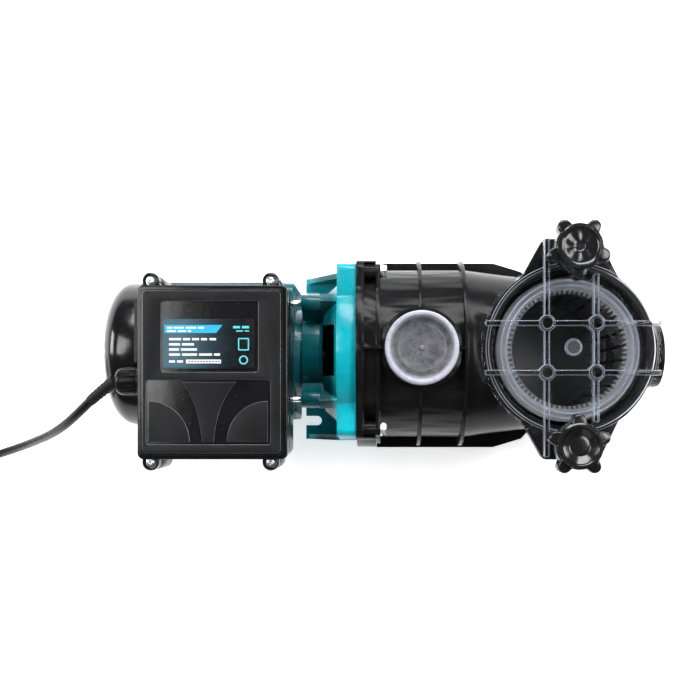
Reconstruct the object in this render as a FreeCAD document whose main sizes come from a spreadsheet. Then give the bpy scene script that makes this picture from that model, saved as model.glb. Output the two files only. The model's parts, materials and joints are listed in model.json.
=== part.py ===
import FreeCAD, Part
import math
import os
import sys

import Sketcher

# Pool pump: an electric motor, a cast bracket and a moulded wet end with a strainer pot.
# Frame: +X from the motor to the suction port, +Z up, Y = 0 in the plane of the shaft.
# The origin is on the floor, below the middle of the pump. The shaft runs along X at height axis_z.
V = FreeCAD.Vector
Rot = FreeCAD.Rotation
doc = FreeCAD.newDocument("pool_pump")

# ---------------------------------------------------------------- driving dimensions
sheet = doc.addObject("Spreadsheet::Sheet", "dims")
TABLE = [
    ("axis_z", 95.0, "height of the shaft above the floor"),
    ("end_rear", -250.5, "rear face of the fan cover"),
    ("end_front", 250.5, "front face of the suction port"),
    ("cover_rad", 65.0, "fan cover, outside radius"),
    ("cover_deep", 20.0, "fan cover, depth of its rounded rim along the shaft"),
    ("cover_round", 30.0, "fan cover, width of its rounded rim across the shaft"),
    ("cover_wall", 2.0, "fan cover, wall"),
    ("cover_mouth", -203.0, "fan cover, open end"),
    ("frame_back", -204.0, "motor frame, rear end"),
    ("frame_nose", -92.0, "motor frame, front end"),
    ("frame_rad", 54.5, "motor frame, tube outside radius"),
    ("frame_bore", 50.0, "motor frame, bore"),
    ("fin_rad", 65.0, "motor frame, fin tips"),
    ("rod_off", 42.0, "tie rods, offset from the shaft in Y and Z"),
    ("rod_rad", 2.5, "tie rods, radius"),
    ("stator_back", -180.0, "stator stack, rear"),
    ("stator_nose", -120.0, "stator stack, front"),
    ("rotor_rad", 30.6, "rotor stack, radius"),
    ("shaft_core", 8.5, "shaft radius inside the rotor"),
    ("shaft_seat", 7.47, "shaft radius at the bearings"),
    ("shaft_wet", 7.0, "shaft radius at the seal"),
    ("bearing_bore", 7.5, "bearing bore radius"),
    ("bearing_rad", 17.5, "bearing outside radius"),
    ("bracket_back", -76.3, "bracket, rear face"),
    ("boss_nose", -59.7, "bracket, front of the tie rod bosses"),
    ("flange_back", -44.7, "bracket flange, rear face"),
    ("split_x", -28.2, "joint face between bracket and pump body"),
    ("body_flange", -11.3, "pump body flange, front face"),
    ("lip_nose", -7.5, "pump body lip, front face"),
    ("flange_rad", 85.2, "pump body flange, round part"),
    ("bracket_rad", 78.6, "bracket flange, round part"),
    ("bolt_y", 68.0, "body bolts, offset in Y"),
    ("bolt_z", 57.0, "body bolts, offset in Z from the shaft"),
    ("lobe_rad", 9.0, "pump body flange, corner radius"),
    ("bracket_lobe", 6.6, "bracket flange, corner radius"),
    ("recess_rad", 70.2, "bracket recess for the seal plate"),
    ("foot_y", 80.4, "feet, outer edges"),
    ("slot_y", 62.0, "feet, slot centres"),
    ("slot_wid", 9.3, "feet, slot width"),
    ("foot_back", -82.0, "feet, rear ends"),
    ("barrel_rad", 76.0, "pump barrel, outside radius"),
    ("barrel_bore", 70.0, "pump barrel, bore"),
    ("rib_rad", 84.0, "pump barrel ribs, radius"),
    ("wing_y", 86.5, "side wings, outer edges"),
    ("port_x", 27.0, "discharge port axis"),
    ("port_top", 181.0, "discharge port, top of the thread"),
    ("thread_rad", 29.8, "port threads, outside radius (G2)"),
    ("port_bore", 25.0, "port bores, radius"),
    ("collar_rad", 35.0, "discharge port collar radius"),
    ("pot_x", 153.4, "strainer pot axis"),
    ("pot_rad", 71.0, "strainer pot, outside radius"),
    ("pot_bore", 66.0, "strainer pot, bore"),
    ("pot_top", 164.0, "strainer pot, rim height"),
    ("pot_floor", 32.0, "strainer pot, inside floor"),
    ("suction_z", 80.0, "suction port axis height"),
    ("lid_low", 165.1, "strainer lid, underside"),
    ("lid_top", 173.0, "strainer lid, top of the plate"),
    ("lid_rad", 76.0, "strainer lid, radius"),
    ("grid_off", 20.6, "strainer lid ribs, offset from the pot axis"),
    ("grid_top", 183.0, "strainer lid ribs, top"),
    ("knob_x", 154.7, "lid studs, X"),
    ("knob_y", 81.0, "lid studs, offset in Y"),
    ("stud_rad", 4.0, "lid studs, radius"),
    ("knob_rad", 19.0, "knob disc radius"),
    ("knob_top", 205.0, "knob, top"),
    ("box_x0", -201.0, "terminal box lid, rear edge"),
    ("box_x1", -81.5, "terminal box lid, front edge"),
    ("box_y0", -91.2, "terminal box lid, edge"),
    ("box_y1", 47.8, "terminal box lid, edge"),
    ("box_seat", 152.0, "terminal box, underside"),
    ("box_split", 204.0, "terminal box, joint between base and lid"),
    ("box_top", 220.0, "terminal box, top"),
    ("screw_x0", -191.0, "terminal box screws, rear pair"),
    ("screw_x1", -95.0, "terminal box screws, front pair"),
    ("screw_y0", -93.5, "terminal box screws, one side"),
    ("screw_y1", 51.5, "terminal box screws, other side"),
    ("gland_y", -28.0, "cable gland axis, Y"),
    ("gland_z", 185.0, "cable gland axis, height"),
    ("gland_end", -225.8, "cable gland, outer end"),
    ("cord_rad", 4.0, "mains cord radius"),
    ("coil_x", -467.0, "put-away coil, centre X"),
    ("coil_y", -74.0, "put-away coil, centre Y"),
    ("coil_rad", 44.0, "put-away coil, mean radius"),
]


class Dim:
    """A number with the spreadsheet expression that gives it."""

    def __init__(self, v, e):
        self.v, self.e = float(v), e

    @staticmethod
    def of(o):
        return o if isinstance(o, Dim) else Dim(o, "(%.6f)" % float(o))

    def _op(self, o, sign, back=False):
        a, b = (Dim.of(o), self) if back else (self, Dim.of(o))
        val = {"+": a.v + b.v, "-": a.v - b.v, "*": a.v * b.v}[sign]
        return Dim(val, "(%s %s %s)" % (a.e, sign, b.e))

    def __add__(self, o):
        return self._op(o, "+")

    def __radd__(self, o):
        return self._op(o, "+", True)

    def __sub__(self, o):
        return self._op(o, "-")

    def __rsub__(self, o):
        return self._op(o, "-", True)

    def __mul__(self, o):
        return self._op(o, "*")

    def __rmul__(self, o):
        return self._op(o, "*", True)

    def __neg__(self):
        return Dim(-self.v, "(0 - %s)" % self.e)


class Sheet:
    pass


p = Sheet()
for row, (alias, value, note) in enumerate(TABLE, 1):
    sheet.set("A%d" % row, note)
    sheet.set("B%d" % row, str(value))
    sheet.setAlias("B%d" % row, alias)
    setattr(p, alias, Dim(value, "dims." + alias))
doc.recompute()

AZ = p.axis_z


def num(d):
    return d.v if isinstance(d, Dim) else float(d)


def size(obj, prop, d):
    setattr(obj, prop, num(d))
    if isinstance(d, Dim):
        obj.setExpression(prop, d.e)


def place(obj, x, y, z, rot=None):
    obj.Placement = FreeCAD.Placement(V(num(x), num(y), num(z)), rot or Rot())
    for ax, d in (("x", x), ("y", y), ("z", z)):
        if isinstance(d, Dim):
            obj.setExpression("Placement.Base." + ax, d.e)


# ---------------------------------------------------------------- primitives and booleans
TURN = {"x": Rot(V(0, 1, 0), 90), "y": Rot(V(1, 0, 0), -90), "z": Rot()}


def box(x0, x1, y0, y1, z0, z1, rot=None):
    o = doc.addObject("Part::Box", "Block")
    for prop, d in (("Length", x1 - x0), ("Width", y1 - y0), ("Height", z1 - z0)):
        size(o, prop, d)
    place(o, x0, y0, z0, rot)
    return o


def spoke(x0, x1, half, wide, deg, z=None):
    """A bar across the shaft axis, from x0 to x1, turned deg about X."""
    o = doc.addObject("Part::Box", "Spoke")
    size(o, "Length", x1 - x0)
    size(o, "Width", half * 2)
    size(o, "Height", wide)
    a = math.radians(deg)
    c, s = math.cos(a), math.sin(a)
    y = -num(half) * c + num(wide) / 2 * s
    zz = -num(half) * s - num(wide) / 2 * c
    place(o, x0, y, (z if z is not None else AZ) + zz, Rot(V(1, 0, 0), deg))
    return o


def cyl(axis, a0, a1, c1, c2, r):
    """A cylinder along axis from a0 to a1. c1 and c2 are the other two coordinates, in X, Y, Z order."""
    o = doc.addObject("Part::Cylinder", "Round")
    size(o, "Radius", r)
    size(o, "Height", a1 - a0)
    at = {"x": (a0, c1, c2), "y": (c1, a0, c2), "z": (c1, c2, a0)}[axis]
    place(o, *at, rot=TURN[axis])
    return o


def cone(axis, a0, a1, c1, c2, r0, r1):
    o = doc.addObject("Part::Cone", "Taper")
    size(o, "Radius1", r0)
    size(o, "Radius2", r1)
    size(o, "Height", a1 - a0)
    at = {"x": (a0, c1, c2), "y": (c1, a0, c2), "z": (c1, c2, a0)}[axis]
    place(o, *at, rot=TURN[axis])
    return o


def hexagon(axis, a0, a1, c1, c2, r):
    o = doc.addObject("Part::Prism", "Hex")
    o.Polygon = 6
    size(o, "Circumradius", r)
    size(o, "Height", a1 - a0)
    at = {"x": (a0, c1, c2), "y": (c1, a0, c2), "z": (c1, c2, a0)}[axis]
    place(o, *at, rot=TURN[axis])
    return o


def ring(x, y, z, big, small):
    o = doc.addObject("Part::Torus", "Ring")
    size(o, "Radius1", big)
    size(o, "Radius2", small)
    place(o, x, y, z)
    return o


def fuse(*objs):
    if len(objs) == 1:
        return objs[0]
    o = doc.addObject("Part::MultiFuse", "Join")
    o.Shapes = list(objs)
    o.Refine = True
    return o


def cut(base, *tools):
    o = doc.addObject("Part::Cut", "Less")
    o.Base = base
    o.Tool = fuse(*tools)
    o.Refine = False
    return o


def common(*objs):
    o = doc.addObject("Part::MultiCommon", "Within")
    o.Shapes = list(objs)
    return o


def group(*objs):
    o = doc.addObject("Part::Compound", "Group")
    o.Links = list(objs)
    return o


NODES = {}


def node(label, obj):
    obj.Label = label
    NODES[label] = obj
    return obj


# ---------------------------------------------------------------- PartDesign bodies
def new_body(name, x=0, y=0, z=0):
    b = doc.addObject("PartDesign::Body", "Body_" + name)
    b.Label = name
    place(b, x, y, z)
    return b


def origin_plane(b, role):
    for f in b.Origin.OriginFeatures:
        if f.Role == role:
            return f


def new_sketch(b, role, name, offset=0.0):
    sk = b.newObject("Sketcher::SketchObject", name)
    sk.AttachmentSupport = (origin_plane(b, role), [""])
    sk.MapMode = "FlatFace"
    if num(offset):
        sk.AttachmentOffset = FreeCAD.Placement(V(0, 0, num(offset)), Rot())
        if isinstance(offset, Dim):
            sk.setExpression("AttachmentOffset.Base.z", offset.e)
    return sk


def hold(sk, kind, args, d):
    """A dimension of the sketch, tied to the sheet where it comes from there."""
    i = sk.addConstraint(Sketcher.Constraint(kind, *args, num(d)))
    if isinstance(d, Dim):
        sk.setExpression("Constraints[%d]" % i, d.e)


def polygon(sk, pts):
    first = sk.GeometryCount
    n = len(pts)
    q = [V(num(a), num(b), 0) for a, b in pts]
    for i in range(n):
        sk.addGeometry(Part.LineSegment(q[i], q[(i + 1) % n]), False)
    for i in range(n):
        sk.addConstraint(Sketcher.Constraint("Coincident", first + i, 2, first + (i + 1) % n, 1))
    for i in range(n):
        for kind, d in (("DistanceX", pts[i][0]), ("DistanceY", pts[i][1])):
            if abs(num(d)) > 1e-9:
                hold(sk, kind, (-1, 1, first + i, 1), d)
            else:
                axis = -2 if kind == "DistanceX" else -1
                sk.addConstraint(Sketcher.Constraint("PointOnObject", first + i, 1, axis))


def circle(sk, cx, cy, r):
    i = sk.addGeometry(Part.Circle(V(num(cx), num(cy), 0), V(0, 0, 1), num(r)), False)
    hold(sk, "Radius", (i,), r)
    for kind, d in (("DistanceX", cx), ("DistanceY", cy)):
        if abs(num(d)) > 1e-9:
            hold(sk, kind, (-1, 1, i, 3), d)
        else:
            sk.addConstraint(Sketcher.Constraint("PointOnObject", i, 3, -2 if kind == "DistanceX" else -1))


def turned(label, pts, axis="x", x=0, y=0, z=None, register=True):
    """A body of revolution. Profile points are (along, radius) for axis x and (radius, height) for axis z."""
    b = new_body(label, x, y, (AZ if axis == "x" else 0) if z is None else z)
    sk = new_sketch(b, "XZ_Plane", label + "_profile")
    polygon(sk, pts)
    rev = b.newObject("PartDesign::Revolution", label + "_turned")
    rev.Profile = sk
    rev.ReferenceAxis = (sk, ["H_Axis" if axis == "x" else "V_Axis"])
    rev.Angle = 360.0
    sk.Visibility = False
    b.Tip = rev
    if register:
        NODES[label] = b
    return b


def padded(label, loops, length, role="XY_Plane", x=0, y=0, z=0, offset=0.0, register=True):
    b = new_body(label, x, y, z)
    sk = new_sketch(b, role, label + "_outline", offset)
    for loop in loops:
        if loop[0] == "circle":
            circle(sk, *loop[1:])
        else:
            polygon(sk, loop[1])
    pad = b.newObject("PartDesign::Pad", label + "_pad")
    pad.Profile = sk
    size(pad, "Length", length)
    b.Tip = pad
    if register:
        NODES[label] = b
    return b


def flange(x0, x1, rad, dy, dz, lobe):
    """A round flange with four corner lobes, about the shaft."""
    parts = [
        cyl("x", x0, x1, 0, AZ, rad),
        box(x0, x1, -(dy + lobe), dy + lobe, AZ - dz, AZ + dz),
        box(x0, x1, -dy, dy, AZ - dz - lobe, AZ + dz + lobe),
    ]
    for sy in (-1, 1):
        for sz in (-1, 1):
            parts.append(cyl("x", x0, x1, dy * sy, AZ + dz * sz, lobe))
    return fuse(*parts)


def four(fn, oy, oz):
    return [fn(oy * sy, AZ + oz * sz) for sy in (-1, 1) for sz in (-1, 1)]


# ---------------------------------------------------------------- motor
# Frame: a finned tube with a flat seat on top for the terminal box.
mf = new_body("motor_frame", 0, 0, AZ)
sk = new_sketch(mf, "YZ_Plane", "frame_section", p.frame_back)
circle(sk, 0, 0, p.frame_rad)
circle(sk, 0, 0, p.frame_bore)
pad = mf.newObject("PartDesign::Pad", "frame_tube")
pad.Profile = sk
size(pad, "Length", p.frame_nose - p.frame_back)
fins = new_sketch(mf, "YZ_Plane", "frame_fins", p.frame_back + 4)
for centre in (0, 180, 270):
    for k in range(-3, 4):
        a = math.radians(centre + 10 * k)
        c, s = math.cos(a), math.sin(a)
        lo, hi, w = num(p.frame_rad) - 1.5, num(p.fin_rad), 1.2
        pts = [V(r * c - t * s, r * s + t * c, 0) for r, t in ((lo, -w), (hi, -w * 0.7), (hi, w * 0.7), (lo, w))]
        for i in range(4):
            fins.addGeometry(Part.LineSegment(pts[i], pts[(i + 1) % 4]), False)
fin_pad = mf.newObject("PartDesign::Pad", "frame_fin_pad")
fin_pad.Profile = fins
size(fin_pad, "Length", p.frame_nose - p.frame_back - 6)
mf.Tip = fin_pad
seat = cut(
    box(-190.0, -100.0, -32.0, 32.0, AZ + 44, p.box_seat),
    cyl("x", -191.0, -99.0, 0, AZ, p.frame_bore + 2),
)
frame_all = cut(fuse(mf, seat), cyl("z", AZ + 40, p.box_seat + 1, -145.0, 0, 9.0))
mf.Label = "motor_frame_tube"
node("motor_frame", frame_all)

turned("stator_core", [(p.stator_back, p.rotor_rad + 0.4), (p.stator_back, p.frame_bore - 0.05), (p.stator_nose, p.frame_bore - 0.05), (p.stator_nose, p.rotor_rad + 0.4)])


def end_turns(name, x0, x1):
    return turned(name, [(x0, 34.0), (x0 + 3, 33.0), (x1 - 3, 33.0), (x1, 34.0), (x1, 45.0), (x1 - 3, 47.0), (x0 + 3, 47.0), (x0, 45.0)], register=False)


node("windings", group(end_turns("winding_rear", p.stator_back - 17, p.stator_back - 0.1), end_turns("winding_front", p.stator_nose + 0.1, p.stator_nose + 17)))
turned("rotor_core", [(p.stator_back, p.shaft_core), (p.stator_back, p.rotor_rad), (p.stator_nose, p.rotor_rad), (p.stator_nose, p.shaft_core)])
turned(
    "shaft",
    [
        (-240.0, 0), (-240.0, 6.0), (-206.0, 6.0), (-206.0, p.shaft_seat), (-191.0, p.shaft_seat), (-191.0, p.shaft_core),
        (-99.5, p.shaft_core), (-99.5, p.shaft_seat), (-86.0, p.shaft_seat), (-86.0, p.shaft_wet), (-24.0, p.shaft_wet),
        (-24.0, 6.0), (-12.0, 6.0), (-12.0, 4.9), (-3.0, 4.9), (-3.0, 0),
    ],
)
turned("rear_bearing", [(-203.0, p.bearing_bore), (-203.0, p.bearing_rad), (-192.0, p.bearing_rad), (-192.0, p.bearing_bore)])
turned("front_bearing", [(-98.0, p.bearing_bore), (-98.0, p.bearing_rad), (-87.0, p.bearing_rad), (-87.0, p.bearing_bore)])
rear = turned(
    "rear_shield_turned",
    [(-212.0, 9.0), (-212.0, 62.0), (p.frame_back - 0.05, 62.0), (p.frame_back - 0.05, 24.0), (-191.5, 24.0), (-191.5, 17.55), (-203.1, 17.55), (-203.1, 9.0)],
    register=False,
)
node(
    "rear_end_shield",
    cut(
        rear,
        *four(lambda y, z: cyl("x", -213.0, -203.0, y, z, p.rod_rad + 0.1), p.rod_off, p.rod_off),
        *[cyl(a, b, c, -207.5, d, 1.5) for a, b, c, d in (("y", 50.0, 70.0, AZ - 20), ("y", -70.0, -50.0, AZ - 20), ("z", 25.0, 45.0, 0))],
    ),
)
front = turned(
    "front_shield_turned",
    [(-99.0, 17.55), (-99.0, 24.0), (-91.95, 28.0), (-91.95, 50.0), (-83.4, 50.0), (-83.4, 40.0), (-76.35, 40.0), (-76.35, 9.0), (-86.9, 9.0), (-86.9, 17.55)],
    register=False,
)
lugs = [
    box(-91.95, -83.4, -60.0, 60.0, AZ - 39, AZ + 39),
    box(-91.95, -83.4, -50.0, 50.0, AZ - 49, AZ + 49),
] + four(lambda y, z: cyl("x", -91.95, -83.4, y, z, 10.0), p.rod_off + 8, p.rod_off - 3)
front_plate = cut(fuse(*lugs), cyl("x", -93.0, -82.0, 0, AZ, 45.0))
node("front_end_shield", cut(fuse(front, front_plate), *four(lambda y, z: cyl("x", -93.0, -82.0, y, z, p.rod_rad + 0.1), p.rod_off, p.rod_off)))
# Tie rods clamp the motor between the rear shield and the bracket bosses.
node(
    "tie_rods",
    group(*[fuse(cyl("x", -214.5, p.boss_nose - 4, y, z, p.rod_rad), hexagon("x", -216.0, -212.05, y, z, 3.4)) for sy in (-1, 1) for sz in (-1, 1) for y, z in [(p.rod_off * sy, AZ + p.rod_off * sz)]]),
)
# Fan: seven radial blades on a hub.
fan = turned("fan_hub", [(-236.0, 6.0), (-236.0, 11.0), (-222.5, 14.0), (-222.5, 50.0), (-220.5, 50.0), (-220.5, 14.0), (-217.0, 13.0), (-217.0, 6.0)], register=False)
fan_sk = new_sketch(fan, "YZ_Plane", "fan_blade", -223.0)
polygon(fan_sk, [(10.0, -1.1), (50.0, -1.1), (50.0, 1.1), (10.0, 1.1)])
blade = fan.newObject("PartDesign::Pad", "fan_blade_pad")
blade.Profile = fan_sk
blade.Length = 12.0
blade.Reversed = True
pp = fan.newObject("PartDesign::PolarPattern", "fan_blades")
pp.Originals = [blade]
pp.Axis = (fan_sk, ["N_Axis"])
pp.Angle = 360.0
pp.Occurrences = 7
fan.Tip = pp
fan.Label = "cooling_fan"
NODES["cooling_fan"] = fan
# Fan cover: a cup with radial air slots in its rear face.
ARC = [math.radians(15 * k) for k in range(7)]
cr, cd, cw = p.cover_round, p.cover_deep, p.cover_wall
fc = turned(
    "fan_cover_cup",
    [(p.end_rear, 0)]
    + [(p.end_rear + cd - cd * math.cos(a), p.cover_rad - cr + cr * math.sin(a)) for a in ARC]
    + [(p.cover_mouth, p.cover_rad), (p.cover_mouth, p.cover_rad - cw)]
    + [(p.end_rear + cd - (cd - cw) * math.cos(a), p.cover_rad - cr + (cr - cw) * math.sin(a)) for a in reversed(ARC)]
    + [(p.end_rear + cw, 0)],
    register=False,
)
fc_sk = new_sketch(fc, "YZ_Plane", "air_slot", p.end_rear - 1)
polygon(fc_sk, [(18.0, -1.6), (33.0, -1.9), (33.0, 1.9), (18.0, 1.6)])
polygon(fc_sk, [(37.0, -2.0), (51.0, -2.6), (51.0, 2.6), (37.0, 2.0)])
slot = fc.newObject("PartDesign::Pocket", "air_slot_cut")
slot.Profile = fc_sk
slot.Length = 11.0
slot.Reversed = True
pp = fc.newObject("PartDesign::PolarPattern", "air_slots")
pp.Originals = [slot]
pp.Axis = (fc_sk, ["N_Axis"])
pp.Angle = 360.0
pp.Occurrences = 20
fc.Tip = pp
fc.Label = "fan_cover_cup"
SCREW_HOLES = [("y", 50.0, 70.0, -207.5, AZ - 20), ("y", -70.0, -50.0, -207.5, AZ - 20), ("z", 25.0, 45.0, -207.5, 0)]
node("fan_cover", cut(fc, *[cyl(*args, 1.5) for args in SCREW_HOLES]))
node("cover_screws", group(*[fuse(cyl("y", 62.9, 65.5, -207.5, AZ - 20, 3.4), cyl("y", 55.0, 63.0, -207.5, AZ - 20, 1.4)), fuse(cyl("y", -65.5, -62.9, -207.5, AZ - 20, 3.4), cyl("y", -63.0, -55.0, -207.5, AZ - 20, 1.4)), fuse(cyl("z", 27.3, 29.9, -207.5, 0, 3.4), cyl("z", 29.8, 38.0, -207.5, 0, 1.4))]))
# Motor support foot: a saddle under the fins.
node(
    "motor_foot",
    cut(box(-168.0, -128.0, -46.0, 46.0, 0, 50.0), cyl("x", -169.0, -127.0, 0, AZ, p.fin_rad + 0.05), box(-169.0, -127.0, -30.0, 30.0, -1.0, 16.0)),
)

# ---------------------------------------------------------------- bracket
shell = turned(
    "bracket_outer",
    [(p.bracket_back, 0), (p.bracket_back, 43.0), (-61.0, 43.0), (-58.0, 46.5), (-57.0, 53.0), (p.flange_back + 0.5, 65.0), (p.flange_back + 2, 65.0), (p.flange_back + 2, 0)],
    register=False,
)
inner = turned(
    "bracket_inner",
    [(p.bracket_back - 1, 0), (p.bracket_back - 1, 12.0), (-70.0, 12.0), (-70.0, 37.5), (-60.0, 37.5), (-52.0, 49.0), (-43.0, 58.5), (-36.0, 60.0), (-36.0, p.recess_rad), (p.split_x + 1, p.recess_rad), (p.split_x + 1, 0)],
    register=False,
)
bosses = four(lambda y, z: cyl("x", p.bracket_back, p.boss_nose, y, z, 7.5), p.rod_off, p.rod_off)
webs = [spoke(p.bracket_back, p.boss_nose, 59.4, 8.0, 45), spoke(p.bracket_back, p.boss_nose, 59.4, 8.0, -45)]
long_webs = [spoke(p.boss_nose - 1, p.flange_back + 1, 66.0, 10.0, a) for a in (45, -45)]
feet = []
for s in (-1, 1):
    y0, y1 = sorted((44.0 * s, num(p.foot_y) * s))
    yo = p.foot_y * s
    yi = yo - 5.0 * s
    feet += [
        box(p.foot_back, p.split_x, Dim.of(44.0) if s > 0 else -p.foot_y, p.foot_y if s > 0 else Dim.of(-44.0), 0, Dim.of(10.0)),
        box(p.flange_back, p.split_x, Dim.of(44.0) if s > 0 else -p.foot_y, p.foot_y if s > 0 else Dim.of(-44.0), 5.0, Dim.of(52.0)),
    ]
    g = padded("gusset_%s" % ("a" if s > 0 else "b"), [("poly", [(p.foot_back + 2, 9.0), (p.flange_back + 1, 9.0), (p.flange_back + 1, 62.0)])], 5.0, role="XZ_Plane", x=0, y=(p.foot_y if s > 0 else 5.0 - p.foot_y), z=0, register=False)
    g2 = padded("gusset_in_%s" % ("a" if s > 0 else "b"), [("poly", [(p.foot_back + 10, 9.0), (p.flange_back + 1, 9.0), (p.flange_back + 1, 50.0)])], 5.0, role="XZ_Plane", x=0, y=(49.0 if s > 0 else -44.0), z=0, register=False)
    feet += [g, g2]
slots = []
for s in (-1, 1):
    slots += [
        box(p.foot_back - 1, Dim.of(-71.05), p.slot_y * s - p.slot_wid * 0.5, p.slot_y * s + p.slot_wid * 0.5, -1.0, 11.0),
        cyl("z", -1.0, 11.0, -71.05, p.slot_y * s, p.slot_wid * 0.5),
    ]
windows = [box(-58.4, -47.2, -22.0, 22.0, AZ + 30, AZ + 90), box(-58.4, -47.2, -22.0, 22.0, AZ - 90, AZ - 30)]
bracket_solid = fuse(shell, flange(p.flange_back, p.split_x, p.bracket_rad, p.bolt_y, p.bolt_z, p.bracket_lobe), *bosses, *webs, *long_webs, *feet)
bracket = cut(
    bracket_solid,
    inner,
    *slots,
    *windows,
    *four(lambda y, z: cyl("x", p.bracket_back - 1, p.boss_nose + 1, y, z, p.rod_rad + 0.1), p.rod_off, p.rod_off),
    *four(lambda y, z: cyl("x", p.flange_back - 1, p.split_x + 1, y, z, 3.05), p.bolt_y, p.bolt_z),
)
node("bracket", bracket)

# ---------------------------------------------------------------- wet end
turned(
    "seal_plate",
    [(-57.0, 9.0), (-57.0, 26.0), (-39.0, 30.0), (-35.9, 36.0), (-35.9, p.recess_rad - 0.3), (-30.0, p.recess_rad - 0.3), (-30.0, 13.1), (-38.5, 13.1), (-38.5, 9.0)],
)
turned("seal_seat", [(-38.4, 8.3), (-38.4, 13.0), (-31.1, 13.0), (-31.1, 8.3)])
turned("seal_rotor", [(-30.8, p.shaft_wet), (-30.8, 11.5), (-27.5, 12.0), (-24.1, 10.5), (-24.1, p.shaft_wet)])
back_disc = turned("impeller_back", [(-24.0, 6.0), (-24.0, 16.0), (-22.5, 52.0), (-20.5, 52.0), (-20.5, 12.0), (-12.0, 10.0), (-12.0, 6.0)], register=False)
front_disc = turned("impeller_front", [(-14.5, 19.0), (-14.5, 52.0), (-13.0, 52.0), (-11.0, 21.0), (-9.5, 19.0)], register=False)
blades = []
for k in range(6):
    a = math.radians(60 * k)
    rot = Rot(V(1, 0, 0), 60 * k + 32)
    o = doc.addObject("Part::Box", "Vane")
    o.Length, o.Width, o.Height = 7.4, 39.0, 2.2
    place(o, -21.4, 15.0 * math.cos(a), AZ + 15.0 * math.sin(a), rot)
    blades.append(o)
vanes = common(fuse(*blades), cyl("x", -22.0, -13.5, 0, AZ, 51.9))
node("impeller", fuse(back_disc, front_disc, vanes))
node("impeller_nut", cut(fuse(hexagon("x", -11.95, -5.0, 0, AZ, 9.4), cyl("x", -11.95, -10.5, 0, AZ, 10.5)), cyl("x", -13.0, -2.0, 0, AZ, 4.92)))
dif = turned(
    "diffuser_turned",
    [(-29.5, 62.0), (-29.5, 66.0), (-9.0, 66.0), (-4.0, 60.0), (0.5, 30.0), (6.0, 23.8), (78.0, 23.8), (78.0, 20.5), (-8.0, 20.5), (-8.0, 54.0), (-12.0, 62.0)],
    register=False,
)
node("diffuser", cut(dif, *[spoke(-27.0, -16.0, 70.0, 12.0, a) for a in (0, 60, 120)]))
node("body_o_ring", turned("o_ring_body", [(p.split_x + 0.1, 72.6), (p.split_x + 0.1, 75.4), (p.split_x + 2.7, 75.4), (p.split_x + 2.7, 72.6)], register=False))

wing = padded(
    "wing",
    [("poly", [(-11.0, -p.wing_y), (98.5, -p.wing_y), (125.0, -78.5), (144.0, -58.0), (144.0, 58.0), (125.0, 78.5), (98.5, p.wing_y), (-11.0, p.wing_y)])],
    8.0, z=AZ - 29, register=False,
)
outer = [
    flange(p.split_x, p.body_flange, p.flange_rad, p.bolt_y, p.bolt_z, p.lobe_rad),
    flange(p.body_flange - 1, p.lip_nose, p.flange_rad - 3, p.bolt_y, p.bolt_z, p.lobe_rad - 3),
    cyl("x", p.lip_nose - 1, 70.0, 0, AZ, p.barrel_rad),
    cut(cone("x", Dim.of(70.0), Dim.of(124.0), 0, AZ, p.barrel_rad, Dim.of(69.0)), cyl("z", p.pot_top - 0.1, p.pot_top + 20, p.pot_x, 0, p.lid_rad + 3)),
    cyl("x", p.port_x - 1.5, p.port_x + 1.5, 0, AZ, p.rib_rad),
    cyl("x", 63.5, 66.5, 0, AZ, p.rib_rad),
    wing,
    cyl("z", 24.0, p.pot_top, p.pot_x, 0, p.pot_rad),
    cyl("z", 150.0, p.pot_top, p.pot_x, 0, 73.5),
    cyl("x", 200.0, p.end_front, 0, p.suction_z, p.thread_rad),
    cyl("x", 205.0, 228.0, 0, p.suction_z, 34.0),
    cyl("z", 130.0, 174.0, p.port_x, 0, p.collar_rad),
    cyl("z", 150.0, p.port_top, p.port_x, 0, p.thread_rad),
    box(p.pot_x - 30, p.pot_x + 30, Dim.of(-46.0), Dim.of(-34.0), 0, Dim.of(40.0)),
    box(p.pot_x - 30, p.pot_x + 30, Dim.of(34.0), Dim.of(46.0), 0, Dim.of(40.0)),
    cyl("y", -64.0, -50.0, 40.0, 40.0, 12.0),
    cyl("y", -80.0, -60.0, p.pot_x, 42.0, 12.0),
    box(-21.5, -5.2, -1.0, 1.0, 168.0, AZ + p.flange_rad),
    box(58.0, 66.0, -1.0, 1.0, 165.0, AZ + p.rib_rad),
]
for s in (-1, 1):
    outer += [
        cyl("z", 138.0, p.pot_top, p.knob_x, p.knob_y * s, 12.0),
        box(p.knob_x - 12, p.knob_x + 12, (Dim.of(60.0) if s > 0 else -p.knob_y), (p.knob_y if s > 0 else Dim.of(-60.0)), 138.0, p.pot_top),
        padded(
            "pot_ear_%s" % ("a" if s > 0 else "b"),
            [("poly", [(-40.0, 58.0 * s), (-40.0, 62.0 * s), (-24.2, 91.0 * s), (-21.5, 93.6 * s), (24.0, 93.6 * s), (26.6, 91.0 * s), (41.5, 61.0 * s), (41.5, 58.0 * s)])],
            p.pot_top - 153.0, x=p.pot_x, z=153.0, register=False,
        ),
        box(p.knob_x - 3, p.knob_x + 3, (60.0 if s > 0 else -84.0), (84.0 if s > 0 else -60.0), 110.0, 140.0),
    ]
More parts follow.
